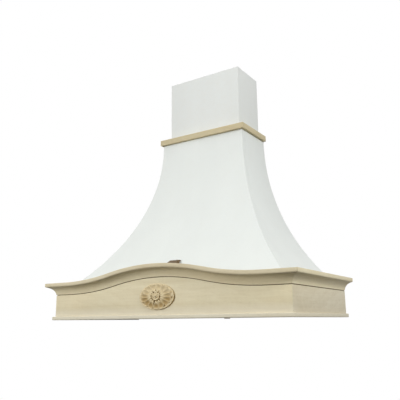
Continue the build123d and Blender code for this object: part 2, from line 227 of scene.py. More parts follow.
def paint(value: Socket | Colour) -> Socket | tuple[float, ...]:
    """Four numbers for a colour of three, and anything else as it is."""
    return (*value, 1.0) if isinstance(value, tuple) and len(value) == 3 else value


@dataclass(frozen=True)
class Effect:
    """Shader node group, made once and placed in several materials: a vector and numbers in, numbers out."""

    name: str
    inputs: tuple[tuple[str, float], ...]
    outputs: tuple[str, ...]

    def group(self) -> bpy.types.NodeTree:
        """Finds the group, or makes it at its first use.

        Returns:
            The node group.
        """
        found = bpy.data.node_groups.get(self.name)
        if found:
            return found
        tree = bpy.data.node_groups.new(self.name, "ShaderNodeTree")
        tree.interface.new_socket("Vector", in_out="INPUT", socket_type="NodeSocketVector")
        for name, value in self.inputs:
            socket = tree.interface.new_socket(name, in_out="INPUT", socket_type="NodeSocketFloat")
            socket.default_value = value
        for name in self.outputs:
            tree.interface.new_socket(name, in_out="OUTPUT", socket_type="NodeSocketFloat")
        bench = ShaderBench(tree)
        given = bench.add("NodeGroupInput").outputs
        bench.add("NodeGroupOutput", self.results(bench, given))
        return tree

    def results(self, bench: ShaderBench, given: Sockets) -> dict[str, Socket]:
        """Builds what the group puts out, by the names of its outputs."""
        raise NotImplementedError

    def place(self, bench: ShaderBench, vector: Socket, **values: float) -> Sockets:
        """Places the group in a material.

        Args:
            bench: Bench of the material.
            vector: Coordinates.
            **values: Numbers for the group's other inputs.

        Returns:
            The outputs of the placed group.
        """
        node = bench.add("ShaderNodeGroup", node_tree=self.group())
        for key, value in {"Vector": vector, **values}.items():
            bench.feed(node, key, value)
        return node.outputs


class Figure(Effect):
    """Grain of a sawn and sanded board, along X: broad bands, streaks, fibres and pores."""

    def results(self, bench: ShaderBench, given: Sockets) -> dict[str, Socket]:
        """Builds the bands, streaks, fibres and pores.

        Args:
            bench: Bench of the group's tree.
            given: The group's inputs.

        Returns:
            Socket for each output.
        """
        place, fine = given["Vector"], given["Fineness"]
        sway = bench.noise(bench.stretch(place, 3.0, 9.0, 9.0), 1.0, 2.0)
        swayed = bench.add("ShaderNodeVectorMath", {0: (0.0, 0.02, 0.02), 3: sway}, operation="SCALE")
        bent = bench.add("ShaderNodeVectorMath", {0: place, 1: swayed.outputs[0]}, operation="ADD").outputs[0]
        bands = bench.noise(bench.stretch(bent, 1.3, 34.0, 34.0), 1.0, 3.0, 0.6, 0.4)
        rings = bench.add(
            "ShaderNodeTexWave",
            {"Vector": bench.stretch(bent, 0.25, 1.0, 1.0), "Scale": 22.0, "Distortion": 5.0,
             "Detail": 2.0, "Detail Scale": 1.4},
            wave_type="BANDS", bands_direction="DIAGONAL", wave_profile="SAW",
        ).outputs["Fac"]
        streaks = bench.noise(bench.stretch(bent, 5.0, 190.0, 190.0), fine, 3.0, 0.65)
        fibres = bench.noise(bench.stretch(place, 22.0, 1100.0, 1100.0), fine, 2.0, 0.6)
        pores = bench.noise(bench.stretch(place, 70.0, 1500.0, 1500.0), fine, 1.0, 0.5)
        dashes = bench.spread(pores, 0.62, 0.74)
        tone = bench.plus(bench.times(bands, 0.55), bench.times(streaks, 0.45))
        tone = bench.plus(tone, bench.times(rings, given["Rings"]))
        relief = bench.sum("SUBTRACT", bench.times(fibres, 0.7), bench.times(dashes, 0.6))
        return {"Tone": bench.spread(tone, 0.3, 0.75), "Fibres": fibres, "Pores": dashes, "Relief": relief}


class Blotches(Effect):
    """Large soft patches, such as uneven colour, damp marks or dusty film."""

    def results(self, bench: ShaderBench, given: Sockets) -> dict[str, Socket]:
        """Builds a broad and a narrow mask.

        Args:
            bench: Bench of the group's tree.
            given: The group's inputs.

        Returns:
            Socket for each output.
        """
        drawn = bench.stretch(given["Vector"], 0.45, 1.0, 1.0)
        broad = bench.noise(drawn, given["Size"], 3.0, 0.55, 0.3)
        twice = bench.times(given["Size"], 2.7)
        spots = bench.noise(given["Vector"], twice, 4.0, 0.7)
        return {"Broad": bench.spread(broad, 0.34, 0.68), "Spots": bench.spread(spots, 0.5, 0.72)}


class Edges(Effect):
    """Masks of worn outer edges, and of dusting and painted shade in inner corners, from the shape itself."""

    def results(self, bench: ShaderBench, given: Sockets) -> dict[str, Socket]:
        """Builds the two masks.

        Args:
            bench: Bench of the group's tree.
            given: The group's inputs.

        Returns:
            Socket for each output.
        """
        sharp = bench.add("ShaderNodeNewGeometry").outputs["Pointiness"]
        broken = bench.noise(given["Vector"], 60.0, 3.0, 0.7)
        broken = bench.spread(broken, 0.35, 0.65, 0.35, 1.0)
        worn = bench.times(bench.spread(sharp, 0.505, 0.56), broken)
        # The inner-corner mask darkens concave corners: partly dusting, partly painted shade.
        return {"Worn": worn, "Dusty": bench.spread(sharp, 0.495, 0.42)}


class Stipple(Effect):
    """Fine skin of rolled paint: stipple, faint laps of the roller and small nibs."""

    def results(self, bench: ShaderBench, given: Sockets) -> dict[str, Socket]:
        """Builds the height of the paint and the laps.

        Args:
            bench: Bench of the group's tree.
            given: The group's inputs.

        Returns:
            Socket for each output.
        """
        place = given["Vector"]
        peel = bench.noise(place, 620.0, 2.0, 0.5)
        laps = bench.noise(bench.stretch(place, 13.0, 13.0, 1.6), 1.0, 2.0, 0.5)
        nibs = bench.spread(bench.noise(place, 240.0, 0.0), 0.73, 0.8)
        height = bench.plus(bench.times(peel, 0.5), bench.times(nibs, 0.6))
        return {"Height": height, "Laps": bench.spread(laps, 0.35, 0.65), "Nibs": nibs}


FIGURE = Figure("timber_figure", (("Fineness", 1.0), ("Rings", 0.1)), ("Tone", "Fibres", "Pores", "Relief"))
BLOTCHES = Blotches("soft_blotches", (("Size", 6.0),), ("Broad", "Spots"))
EDGES = Edges("edge_masks", (), ("Worn", "Dusty"))
STIPPLE = Stipple("rolled_skin", (), ("Height", "Laps", "Nibs"))


# ---- Finishes ----


@dataclass(frozen=True)
class Finish:
    """What every finish has: a name, the slot of the record that it belongs to, and a material."""

    name: str
    slot: str
    roughness: float = 0.6

    def material(self) -> bpy.types.Material:
        """Finds the material, or makes it at its first use.

        Returns:
            The material.
        """
        found = bpy.data.materials.get(self.name)
        if found:
            return found
        made = bpy.data.materials.new(self.name)
        bench = ShaderBench.on(made)
        shader = bench.add("ShaderNodeBsdfPrincipled")
        self.fill(bench, shader)
        bench.add("ShaderNodeOutputMaterial", {"Surface": shader.outputs["BSDF"]})
        return made

    def put_on(self, thing: bpy.types.Object) -> None:
        """Makes this the only finish of an object.

        Args:
            thing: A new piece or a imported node.
        """
        thing.data.materials.clear()
        thing.data.materials.append(self.material())

    def fill(self, bench: ShaderBench, shader: bpy.types.Node) -> None:
        """Feeds the Principled shader of the material."""
        raise NotImplementedError

    @staticmethod
    def rough_up(
        bench: ShaderBench, shader: bpy.types.Node, height: Socket, depth: float, strength: float
    ) -> None:
        """Bumps the shader's normal by a height from 0 to 1, of a real depth in metres, at a strength."""
        bump = bench.add("ShaderNodeBump", {"Strength": strength, "Distance": depth, "Height": height})
        bench.feed(shader, "Normal", bump.outputs["Normal"])


@dataclass(frozen=True)
class Timber(Finish):
    """Planed or sanded bare wood."""

    grain: Grain = Grain.ACROSS
    shift: tuple[float, float, float] = (0.0, 0.0, 0.0)
    pale: Colour = (0.79, 0.72, 0.505)
    deep: Colour = (0.635, 0.55, 0.345)
    warm: Colour = (0.715, 0.585, 0.355)
    pore: Colour = (0.38, 0.31, 0.18)
    rings: float = 0.1
    blotch_size: float = 6.0
    fineness: float = 1.0
    # Colour and share laid in inner corners: dusting and painted shade.
    dust: Colour = (0.30, 0.22, 0.12)
    dust_share: float = 0.0
    relief_depth: float = 0.0003

    def fill(self, bench: ShaderBench, shader: bpy.types.Node) -> None:
        """Feeds the shader with grain, blotches, pores, worn edges, dusting and painted shade in inner
        corners, and relief.

        Args:
            bench: Bench of the material.
            shader: The Principled shader.
        """
        place = bench.place()
        turned = bench.turned(place, self.grain, self.shift)
        figure = FIGURE.place(bench, turned, Fineness=self.fineness, Rings=self.rings)
        marks = BLOTCHES.place(bench, turned, Size=self.blotch_size)
        edges = EDGES.place(bench, place)
        wood = bench.wash(
            bench.blend(figure["Tone"], self.deep, self.pale),
            (marks["Broad"], 0.45, self.warm),
            (marks["Spots"], 0.22, self.pale),
            (bench.spread(figure["Fibres"], 0.35, 0.65), 0.14, self.deep),
            (figure["Pores"], 0.4, self.pore),
            (edges["Worn"], 0.3, self.pale),
            # Inner corners darkened: dusting and painted shade.
            (edges["Dusty"], self.dust_share, self.dust),
        )
        # Subclasses paint light, shade and staining into the wood by place here.
        bench.feed(shader, "Base Color", self.soil(bench, place, wood))
        rough = bench.spread(figure["Tone"], 0.0, 1.0, self.roughness + 0.08, self.roughness - 0.05)
        bench.feed(shader, "Roughness", bench.plus(rough, bench.times(figure["Pores"], 0.1)))
        self.rough_up(bench, shader, figure["Relief"], self.relief_depth, 0.5)

    def soil(self, bench: ShaderBench, place: Socket, wood: Socket) -> Socket:
        """Leaves the wood as it is; other finishes paint light, shade and staining into it by its place."""
        return wood


@dataclass(frozen=True)
class Graded(Timber):
    """Wood with painted light and shade: its colour drifts along one axis towards a tint, paler for painted
    light, darker for painted shade.
    """

    axis: int = 2
    start: float = 0.042
    end: float = 0.013
    tint: Colour = (0.95, 0.92, 0.83)
    tint_share: float = 0.4

    def soil(self, bench: ShaderBench, place: Socket, wood: Socket) -> Socket:
        """Drifts the colour between two distances from the cover's own planes, as painted light and shade.

        Args:
            bench: Bench of the material.
            place: Object coordinates.
            wood: Colour of the wood.

        Returns:
            The colour with its tint.
        """
        away = bench.sum("ABSOLUTE", bench.split(place)[self.axis])
        return bench.blend(bench.spread(away, self.start, self.end, 0.0, self.tint_share), wood, self.tint)


@dataclass(frozen=True)
class Carving(Timber):
    """Carved wood darkened in its hollows, the more the deeper they lie, as staining and painted shade; the
    lower half and the rim's outer wall get painted shade.
    """

    # Darkening of the hollows: partly staining, partly painted shade.
    stain: Colour = (0.32, 0.195, 0.042)
    stain_share: float = 0.9
    clean_at: float = -0.4504
    stained_at: float = -0.4440
    ragged: float = 0.0008
    half_width: float = 0.067
    half_height: float = 0.0405
    centre_height: float = 0.0675

    def soil(self, bench: ShaderBench, place: Socket, wood: Socket) -> Socket:
        """Darkens the hollows, most in a ring between the middle and the rim and in the lower half, and the
        rim's outer wall: staining and painted shade in the hollows, painted shade on the lower half and the
        wall.

        Args:
            bench: Bench of the material.
            place: Object coordinates.
            wood: Colour of the wood.

        Returns:
            The colour, darkened.
        """
        across, depth, height = bench.split(place)
        uneven = bench.times(bench.noise(place, 90.0, 3.0, 0.6), 2 * self.ragged)
        deep = bench.plus(depth, uneven)
        deep = bench.spread(deep, self.clean_at + self.ragged, self.stained_at + self.ragged)
        sideways = bench.sum("DIVIDE", across, self.half_width)
        upward = bench.sum("DIVIDE", bench.sum("SUBTRACT", height, self.centre_height), self.half_height)
        reach = bench.plus(bench.times(sideways, sideways), bench.times(upward, upward))
        # Painted shade: the rim's outer wall, and more darkening on the lower half, which faces away from the
        # light.
        kept = bench.plus(bench.spread(reach, 0.74, 0.88, 1.0, 0.12), bench.spread(reach, 0.965, 0.99))
        kept = bench.times(kept, bench.spread(upward, -0.1, 0.5, 1.0, 0.3))
        return bench.wash(wood, (bench.times(deep, kept), self.stain_share, self.stain))


@dataclass(frozen=True)
class Primer(Finish):
    """Matt white primer, rolled on and lightly sanded."""

    white: Colour = (0.80, 0.835, 0.805)
    shade: Colour = (0.765, 0.80, 0.775)
    mark: Colour = (0.70, 0.71, 0.67)
    undercoat: Colour = (0.72, 0.68, 0.58)

    def fill(self, bench: ShaderBench, shader: bpy.types.Node) -> None:
        """Feeds the shader with laps, handling marks, thin paint on the edges and stipple.

        Args:
            bench: Bench of the material.
            shader: The Principled shader.
        """
        place = bench.place()
        skin = STIPPLE.place(bench, place)
        marks = BLOTCHES.place(bench, place, Size=4.0)
        edges = EDGES.place(bench, place)
        coat = bench.wash(
            self.white,
            (skin["Laps"], 0.5, self.shade),
            (marks["Broad"], 0.25, self.shade),
            (marks["Spots"], 0.10, self.mark),
            (skin["Nibs"], 0.25, self.mark),
            (edges["Worn"], 0.18, self.undercoat),
        )
        bench.feed(shader, "Base Color", coat)
        rough = bench.spread(marks["Broad"], 0.0, 1.0, self.roughness - 0.05, self.roughness + 0.06)
        bench.feed(shader, "Roughness", rough)
        self.rough_up(bench, shader, skin["Height"], 0.0002, 0.35)


@dataclass(frozen=True)
class Plywood(Finish):
    """Birch plywood: a rotary-cut face veneer, and bands of crossed veneers on the edges."""

    layers: Layers = Layers.UPRIGHT
    grain: Grain = Grain.ACROSS
    veneer: float = 0.0015
    face_pale: Colour = (0.67, 0.54, 0.36)
    face_deep: Colour = (0.54, 0.40, 0.24)
    edge_pale: Colour = (0.60, 0.46, 0.29)
    edge_dark: Colour = (0.30, 0.19, 0.10)

    def fill(self, bench: ShaderBench, shader: bpy.types.Node) -> None:
        """Feeds the shader with the face veneer and the banded edges.

        Args:
            bench: Bench of the material.
            shader: The Principled shader.
        """
        spots = bench.add("ShaderNodeTexCoord").outputs
        place = spots["Object"]
        turned = bench.turned(place, self.grain)
        figure = FIGURE.place(bench, turned, Fineness=0.7, Rings=0.22)
        marks = BLOTCHES.place(bench, turned, Size=5.0)
        face = bench.blend(figure["Tone"], self.face_deep, self.face_pale)
        face = bench.wash(face, (marks["Broad"], 0.3, self.face_deep))
        across = bench.split(place)[self.layers.value]
        depth = bench.plus(bench.sum("DIVIDE", across, self.veneer), bench.noise(place, 35.0, 2.0))
        band = bench.spread(bench.sum("SINE", bench.times(depth, pi)), -0.35, 0.35)
        speckle = bench.noise(bench.stretch(place, 900.0, 900.0, 900.0), 1.0, 2.0)
        edge = bench.blend(band, self.edge_dark, self.edge_pale)
        edge = bench.wash(edge, (bench.spread(speckle, 0.4, 0.7), 0.35, self.edge_dark))
        facing = bench.split(spots["Normal"])[self.layers.value]
        on_edge = bench.spread(bench.sum("ABSOLUTE", facing), 0.75, 0.6)
        bench.feed(shader, "Base Color", bench.blend(on_edge, face, edge))
        rough = bench.spread(figure["Tone"], 0.0, 1.0, self.roughness + 0.06, self.roughness - 0.06)
        bench.feed(shader, "Roughness", rough)
        height = bench.plus(figure["Relief"], bench.times(bench.times(band, on_edge), 0.8))
        self.rough_up(bench, shader, height, 0.0003, 0.5)


@dataclass(frozen=True)
class Zinc(Finish):
    """Bright zinc plating, lightly scuffed."""

    plate: Colour = (0.62, 0.62, 0.60)
    dull: Colour = (0.42, 0.42, 0.41)

    def fill(self, bench: ShaderBench, shader: bpy.types.Node) -> None:
        """Feeds the shader with spangle, painted shade in the recesses and scuffs.

        Args:
            bench: Bench of the material.
            shader: The Principled shader.
        """
        place = bench.place()
        spangle = bench.noise(place, 900.0, 2.0, 0.6)
        scuffs = bench.noise(bench.stretch(place, 2600.0, 300.0, 300.0), 1.0, 1.0)
        edges = EDGES.place(bench, place)
        metal = bench.blend(bench.spread(spangle, 0.35, 0.65), self.dull, self.plate)
        # Recesses darkened: painted shade.
        bench.feed(shader, "Base Color", bench.wash(metal, (edges["Dusty"], 0.6, self.dull)))
        bench.feed(shader, "Metallic", 1.0)
        rough = bench.spread(scuffs, 0.3, 0.7, self.roughness - 0.08, self.roughness + 0.12)
        bench.feed(shader, "Roughness", rough)
        self.rough_up(bench, shader, spangle, 0.00005, 0.3)


FRONT = {"slot": "bare_wood", "grain": Grain.ACROSS}
SIDE = {"slot": "bare_wood", "grain": Grain.DEPTH}
# Crown: dusting and painted shade in its inner corners.
CROWN_DUST_AND_SHADE = {"dust": (0.20, 0.14, 0.065), "dust_share": 0.55}
TRIM_TONES = {"pale": (0.63, 0.555, 0.355), "deep": (0.49, 0.41, 0.235), "warm": (0.56, 0.45, 0.26)}
BARE = {
    # Frieze boards: painted light, paler towards the foot.
    "frieze_front": Graded("bare_frieze_front", **FRONT, shift=(0.3, 0.1, 0.7)),
    "frieze_side": Graded(
        "bare_frieze_side", **SIDE, shift=(1.1, 0.4, 0.2), blotch_size=13.0, tint_share=0.15,
        pale=(0.73, 0.675, 0.52), deep=(0.53, 0.46, 0.30), warm=(0.51, 0.415, 0.25),
    ),
    # Crown front: painted shade, darker where it stands out furthest, over the top of the cove, the ovolo and
    # the nose.
    "crown_front": Graded(
        "bare_crown_front", **FRONT, **CROWN_DUST_AND_SHADE, shift=(2.3, 1.7, 0.4), axis=1, start=0.453, end=0.463,
        tint=(0.34, 0.27, 0.19), tint_share=0.2,
    ),
    "crown_side": Timber("bare_crown_side", **SIDE, **CROWN_DUST_AND_SHADE, shift=(0.9, 2.2, 1.3)),
    "bead_front": Timber(
        "bare_bead_front", **FRONT, shift=(1.9, 0.6, 2.4), pale=(0.77, 0.73, 0.585), deep=(0.66, 0.60, 0.44),
        warm=(0.70, 0.62, 0.45),
    ),
    "bead_side": Timber(
        "bare_bead_side", **SIDE, shift=(0.2, 1.4, 1.8), pale=(0.73, 0.68, 0.53), deep=(0.60, 0.54, 0.385),
        warm=(0.66, 0.57, 0.41),
    ),
    "trim_front": Timber("bare_trim_front", **FRONT, **TRIM_TONES, shift=(2.8, 0.3, 1.1)),
    "trim_side": Timber("bare_trim_side", **SIDE, **TRIM_TONES, shift=(1.2, 2.6, 0.8)),
}
# Carved flower: hollows darkened by staining and painted shade, inner corners by dusting and painted shade.
CARVED = Carving(
    "carved_flower", "carved_wood", grain=Grain.ACROSS, shift=(0.5, 2.1, 1.6), roughness=0.62,
    pale=(0.88, 0.765, 0.50), deep=(0.76, 0.635, 0.385), warm=(0.81, 0.66, 0.40),
    dust=(0.17, 0.11, 0.045), dust_share=0.7,
)
BELL_WHITE = Primer("primed_bell", "white_board", roughness=0.62)
# Painted shade: the bell's primer made a little darker for the chimney.
CHIMNEY_SHADED_WHITE = Primer(
    "primed_chimney", "white_board", roughness=0.62, white=(0.765, 0.795, 0.775), shade=(0.73, 0.755, 0.735)
)
# Painted shade: the crest block is coloured near-black to stand for the shade behind the crest.
SHADED_BLOCK = Timber(
    "dark_block", "dark_wood", grain=Grain.DEPTH, roughness=0.75, pale=(0.17, 0.11, 0.05),
    deep=(0.085, 0.052, 0.022), warm=(0.14, 0.085, 0.035), pore=(0.03, 0.018, 0.008), dust=(0.16, 0.12, 0.08),
)
# Painted shade: near-black brown for the faces in the quirk, standing for the shadow in that groove.
QUIRK_SHADE = Timber(
    "quirk_dirt", "bare_wood", roughness=0.85, pale=(0.17, 0.12, 0.06), deep=(0.10, 0.07, 0.035),
    warm=(0.14, 0.095, 0.045), pore=(0.05, 0.035, 0.02),
)
ZINC = Zinc("zinc_screws", "zinc_steel", roughness=0.34)


def softwood(grain: Grain) -> Timber:
    """Planed pine with its fibres along a piece.

    Args:
        grain: Direction of the fibres.

    Returns:
        The finish.
    """
    return Timber(
        f"softwood_{grain.name.lower()}", "softwood", grain=grain, rings=0.45, fineness=0.6, roughness=0.58,
        pale=(0.76, 0.60, 0.385), deep=(0.56, 0.37, 0.19), warm=(0.68, 0.48, 0.27), pore=(0.40, 0.24, 0.12),
        blotch_size=8.0,
    )


def plywood(layers: Layers, grain: Grain = Grain.ACROSS) -> Plywood:
    """Birch plywood for a board that lies a given way."""
    name = f"plywood_{layers.name}_{grain.name}".lower()
    return Plywood(name, "plywood", layers=layers, grain=grain)


# ---- Work bench ----


class Workpiece:
    """One new piece: drawn or blocked out, shaped in edit mode, eased, dressed and hung on its body."""

    def __init__(self, name: str, out: Vector = -UP, origin: Vector = Vector()) -> None:
        """Names the piece and sets the upright plane that its outline is drawn in.

        Args:
            name: Name of the piece.
            out: First axis of the plane; the second is up.
            origin: Where the plane's own zero is.
        """
        self.name = name
        self.out = out
        self.origin = origin
        self.normal = out.cross(UP)
        self.pen = (0.0, 0.0)
        self.body = None

    @staticmethod
    def clear_bench() -> None:
        """Leaves edit mode and deselects everything."""
        if bpy.context.object and bpy.context.object.mode != "OBJECT":
            bpy.ops.object.mode_set(mode="OBJECT")
        bpy.ops.object.select_all(action="DESELECT")

    def take(self) -> "Workpiece":
        """Names the primitive that was just added and opens it in edit mode, all selected.

        Returns:
            This piece.
        """
        self.body = bpy.context.object
        self.body.name = self.body.data.name = self.name
        bpy.ops.object.mode_set(mode="EDIT")
        bpy.ops.mesh.select_all(action="SELECT")
        return self

    def at(self, out: float, up: float) -> Vector:
        """Point of the drawing plane in the cover's frame."""
        return self.origin + self.out * out + UP * up

    def begin(self, out: float, up: float) -> "Workpiece":
        """Sets the pen down: a small plane, merged to one point.

        Args:
            out: Place along the first axis.
            up: Height.

        Returns:
            This piece.
        """
        self.clear_bench()
        bpy.ops.mesh.primitive_plane_add(size=PEN_POINT, location=self.at(out, up))
        self.take()
        bpy.ops.object.mode_set(mode="OBJECT")
        bpy.ops.object.transform_apply(location=True, rotation=True, scale=True)
        bpy.ops.object.mode_set(mode="EDIT")
        bpy.ops.mesh.merge(type="CENTER")
        self.pen = (out, up)
        return self

    def line(self, *points: tuple[float, float]) -> "Workpiece":
        """Draws straight to each point in turn.

        Args:
            *points: Places in the drawing plane.

        Returns:
            This piece.
        """
        for point in points:
            self.run(self.at(*point) - self.at(*self.pen))
            self.pen = point
        return self

    def arc(self, centre: tuple[float, float], turn: float, steps: int) -> "Workpiece":
        """Draws an arc from the pen's place.

        Args:
            centre: Centre of the arc.
            turn: Angle in degrees, anticlockwise with the first axis to the right.
            steps: Number of straight steps.

        Returns:
            This piece.
        """
        self.swing(self.at(*centre), self.normal, turn, steps)
        across, up = self.pen[0] - centre[0], self.pen[1] - centre[1]
        c, s = cos(radians(turn)), sin(radians(turn))
        self.pen = (centre[0] + c * across - s * up, centre[1] + s * across + c * up)
        return self

    def hollow(self, end: tuple[float, float], depth: float, steps: int) -> "Workpiece":
        """Draws a concave arc that falls back behind the straight line to its end.

        Args:
            end: Where the arc ends.
            depth: How far it falls back in its middle.
            steps: Number of straight steps.

        Returns:
            This piece.
        """
        across, up = end[0] - self.pen[0], end[1] - self.pen[1]
        chord = hypot(across, up)
        radius = (chord**2 / 4 + depth**2) / (2 * depth)
        away = (radius - depth) / chord
        centre = ((self.pen[0] + end[0]) / 2 + up * away, (self.pen[1] + end[1]) / 2 - across * away)
        return self.arc(centre, -2 * degrees(asin(chord / 2 / radius)), steps)

    def close(self) -> "Workpiece":
        """Fills the outline.

        Returns:
            This piece.
        """
        bpy.ops.mesh.select_all(action="SELECT")
        bpy.ops.mesh.remove_doubles(threshold=PEN_POINT / 20)
        bpy.ops.mesh.edge_face_add()
        return self

    def run(self, step: Vector) -> "Workpiece":
        """Extrudes what is selected by a step."""
        bpy.ops.mesh.extrude_region_move(TRANSFORM_OT_translate={"value": step})
        return self

    def swing(self, centre: Vector, axis: Vector, turn: float, steps: int) -> "Workpiece":
        """Runs the selected section round an axis by degrees, right-handed, in straight steps."""
        bpy.ops.mesh.spin(steps=steps, angle=-radians(turn), center=centre, axis=axis)
        return self

    def trim(self, point: Vector, waste: Vector) -> "Workpiece":
        """Saws off what lies on one side of a plane, and fills the cut.

        Args:
            point: Point on the plane.
            waste: Direction of the part that is taken off.

        Returns:
            This piece.
        """
        bpy.ops.mesh.select_all(action="SELECT")
        bpy.ops.mesh.bisect(plane_co=point, plane_no=waste, use_fill=True, clear_outer=True)
        return self

    def modify(self, kind: str, **settings: object) -> "Workpiece":
        """Adds a modifier and applies it.

        Args:
            kind: Blender's name of the modifier type.
            **settings: Properties of the modifier.

        Returns:
            This piece.
        """
        bpy.ops.object.mode_set(mode="OBJECT")
        added = self.body.modifiers.new(kind.lower(), kind)
        for key, value in settings.items():
            setattr(added, key, value)
        bpy.context.view_layer.objects.active = self.body
        bpy.ops.object.modifier_apply(modifier=added.name)
        return self

    def settle(self) -> "Workpiece":
        """Merges doubles and turns all faces outwards, in edit mode.

        Returns:
            This piece.
        """
        if self.body.mode != "EDIT":
            bpy.ops.object.mode_set(mode="EDIT")
        bpy.ops.mesh.select_all(action="SELECT")
        bpy.ops.mesh.remove_doubles(threshold=PEN_POINT / 20)
        bpy.ops.mesh.normals_make_consistent(inside=False)
        return self

    def ease(self, width: float, segments: int = 2, sharp: float = 30.0) -> "Workpiece":
        """Rounds every sharp edge a little and shades the rest smooth.

        Args:
            width: Width of the rounding.
            segments: Faces across it.
            sharp: Smallest angle in degrees that counts as an edge.

        Returns:
            This piece.
        """
        self.settle()
        self.modify(
            "BEVEL", width=width, segments=segments, limit_method="ANGLE", angle_limit=radians(sharp),
            use_clamp_overlap=True, miter_outer="MITER_ARC",
        )
        return self.smooth(sharp)

    def smooth(self, sharp: float = 30.0) -> "Workpiece":
        """Shades faces smooth where they meet at less than an angle.

        Args:
            sharp: The angle in degrees.

        Returns:
            This piece.
        """
        self.clear_bench()
        self.body.select_set(True)
        bpy.context.view_layer.objects.active = self.body
        bpy.ops.object.shade_smooth_by_angle(angle=radians(sharp))
        return self

    def gather(self, parts: list[bpy.types.Object]) -> "Workpiece":
        """Joins objects into this piece.

        Args:
            parts: The objects; the first takes in the others.

        Returns:
            This piece.
        """
        self.clear_bench()
        for part in parts:
            part.select_set(True)
        bpy.context.view_layer.objects.active = self.body = parts[0]
        bpy.ops.object.join()
        self.body.name = self.body.data.name = self.name
        return self

    def dress(self, finish: Finish, rides: str = "cover") -> None:
        """Gives the piece its finish, hangs it on its body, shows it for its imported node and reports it.

        Args:
            finish: Finish of the whole piece.
            rides: Body that it moves with.
        """
        self.clear_bench()
        finish.put_on(self.body)
        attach(self.body, rides)
        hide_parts(old_name(self.name))
        log.info("%s: %d faces, %s, on %s", self.body.name, len(self.body.data.polygons), finish.name, rides)


def new_name(name: str) -> str:
    """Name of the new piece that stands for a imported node."""
    return f"{name}{NEW_END}"


def old_name(name: str) -> str:
    """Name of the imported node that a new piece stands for."""
    return name.removesuffix(NEW_END)


def copy_of(pattern: bpy.types.Object, place: Matrix) -> bpy.types.Object:
    """Copies a pattern.

    Args:
        pattern: The pattern.
        place: Where the copy goes and how large it is, which is put in its own mesh.

    Returns:
        The copy.
    """
    copy = pattern.copy()
    copy.data = pattern.data.copy()
    bpy.context.scene.collection.objects.link(copy)
    copy.data.transform(place)
    return copy


# ---- Skirt ----


@dataclass(frozen=True)
class Surround:
    """Three lengths of board or moulding, on the front and both sides, mitred at the front corners."""

    kind: str
    half_width: float = 0.450
    depth: float = 0.440
    foot: float = 0.0
    reach: float = 0.0
    eased: float = 0.0004

    def section(self, piece: Workpiece) -> Workpiece:
        """Draws the section of every length on the piece's plane, and leaves it filled and selected."""
        raise NotImplementedError

    def run_front(self, piece: Workpiece) -> None:
        """Runs the section along the front, from end to end."""
        piece.run(Vector((2 * (self.half_width + self.reach), 0, 0)))

    def mitre(self, piece: Workpiece, side: Side, way: int) -> Workpiece:
        """Saws the 45 degree mitre at a front corner; the waste lies outwards (1) or inwards (-1)."""
        corner = Vector((side.value * self.half_width, -self.depth, 0))
        return piece.trim(corner, way * Vector((side.value, 1, 0)))

    def finish(self, piece: Workpiece, look: str, axis: int, plane: float) -> None:
        """Eases and dresses a mitred length, which stands out along an axis from a plane."""
        piece.ease(self.eased).dress(BARE[f"{self.kind}_{look}"])

    def finish_front(self, piece: Workpiece) -> None:
        """Mitres the front length at both ends and finishes it.

        Args:
            piece: The length, not yet mitred.
        """
        piece.settle()
        for side in Side:
            self.mitre(piece, side, 1)
        self.finish(piece, "front", 1, self.depth)

    def front(self) -> None:
        """Builds the front length."""
        end = Vector((-self.half_width - self.reach, -self.depth, self.foot))
        piece = Workpiece(new_name(f"{self.kind}_front"), out=Vector((0, -1, 0)), origin=end)
        self.section(piece)
        self.run_front(piece)
        self.finish_front(piece)

    def side(self, side: Side) -> None:
        """Builds the length on a side, from the wall to its mitre.

        Args:
            side: Side of the cover.
        """
        place = Vector((side.value * self.half_width, 0, self.foot))
        name = new_name(f"{self.kind}_{side.label}")
        piece = Workpiece(name, out=Vector((side.value, 0, 0)), origin=place)
        self.section(piece).run(Vector((0, -self.depth - self.reach, 0))).settle()
        self.finish(self.mitre(piece, side, -1), "side", 0, self.half_width)

    @staticmethod
    def build_all(*parts: "Surround") -> None:
        """Builds and dresses the front length of each part, and then the lengths on either side.

        Args:
            *parts: The parts, in the order that their lengths are built in.
        """
        for part in parts:
            part.front()
        for side in Side:
            for part in parts:
                part.side(side)


@dataclass(frozen=True)
class Strip(Surround):
    """Square strip with its two outer edges rounded: the bead round the foot, or the trim round the neck."""

    inner: float = 0.0
    height: float = 0.012
    rounding: float = 0.0025
    round_steps: int = 6

    def section(self, piece: Workpiece) -> Workpiece:
        """Draws the strip's section.

        Args:
            piece: Piece whose plane stands on the face that the strip is fixed to.

        Returns:
            The piece, with its section filled and selected.
        """
        low, high, out = self.rounding, self.height - self.rounding, self.reach - self.rounding
        piece.begin(self.inner, 0.0).line((out, 0.0)).arc((out, low), 90.0, self.round_steps)
        piece.line((self.reach, high)).arc((out, high), 90.0, self.round_steps)
        return piece.line((self.inner, self.height)).close()


@dataclass(frozen=True)
class Serpentine:
    """Line along the top of the front board: level ends, a dip, the crest and another dip."""

    rise: float = 0.041
    half: float = 0.377
    crest_radius: float = 0.794
    dip_steps: int = 14
    crest_steps: int = 30

    def bends(self, base: float) -> tuple[tuple[float, float, float, int], ...]:
        """Bends from left to right, for level ends at a height.

        Args:
            base: Height of the level ends.

        Returns:
            Each bend's centre, across and up, its turn in degrees and its steps.
        """
        turn = degrees(2 * atan2(self.rise, self.half))
        dip = base + (self.half / sin(radians(turn)) - self.crest_radius)
        crest = base + self.rise - self.crest_radius
        return (
            (-self.half, dip, turn, self.dip_steps),
            (0.0, crest, -2 * turn, self.crest_steps),
            (self.half, dip, turn, self.dip_steps),
        )


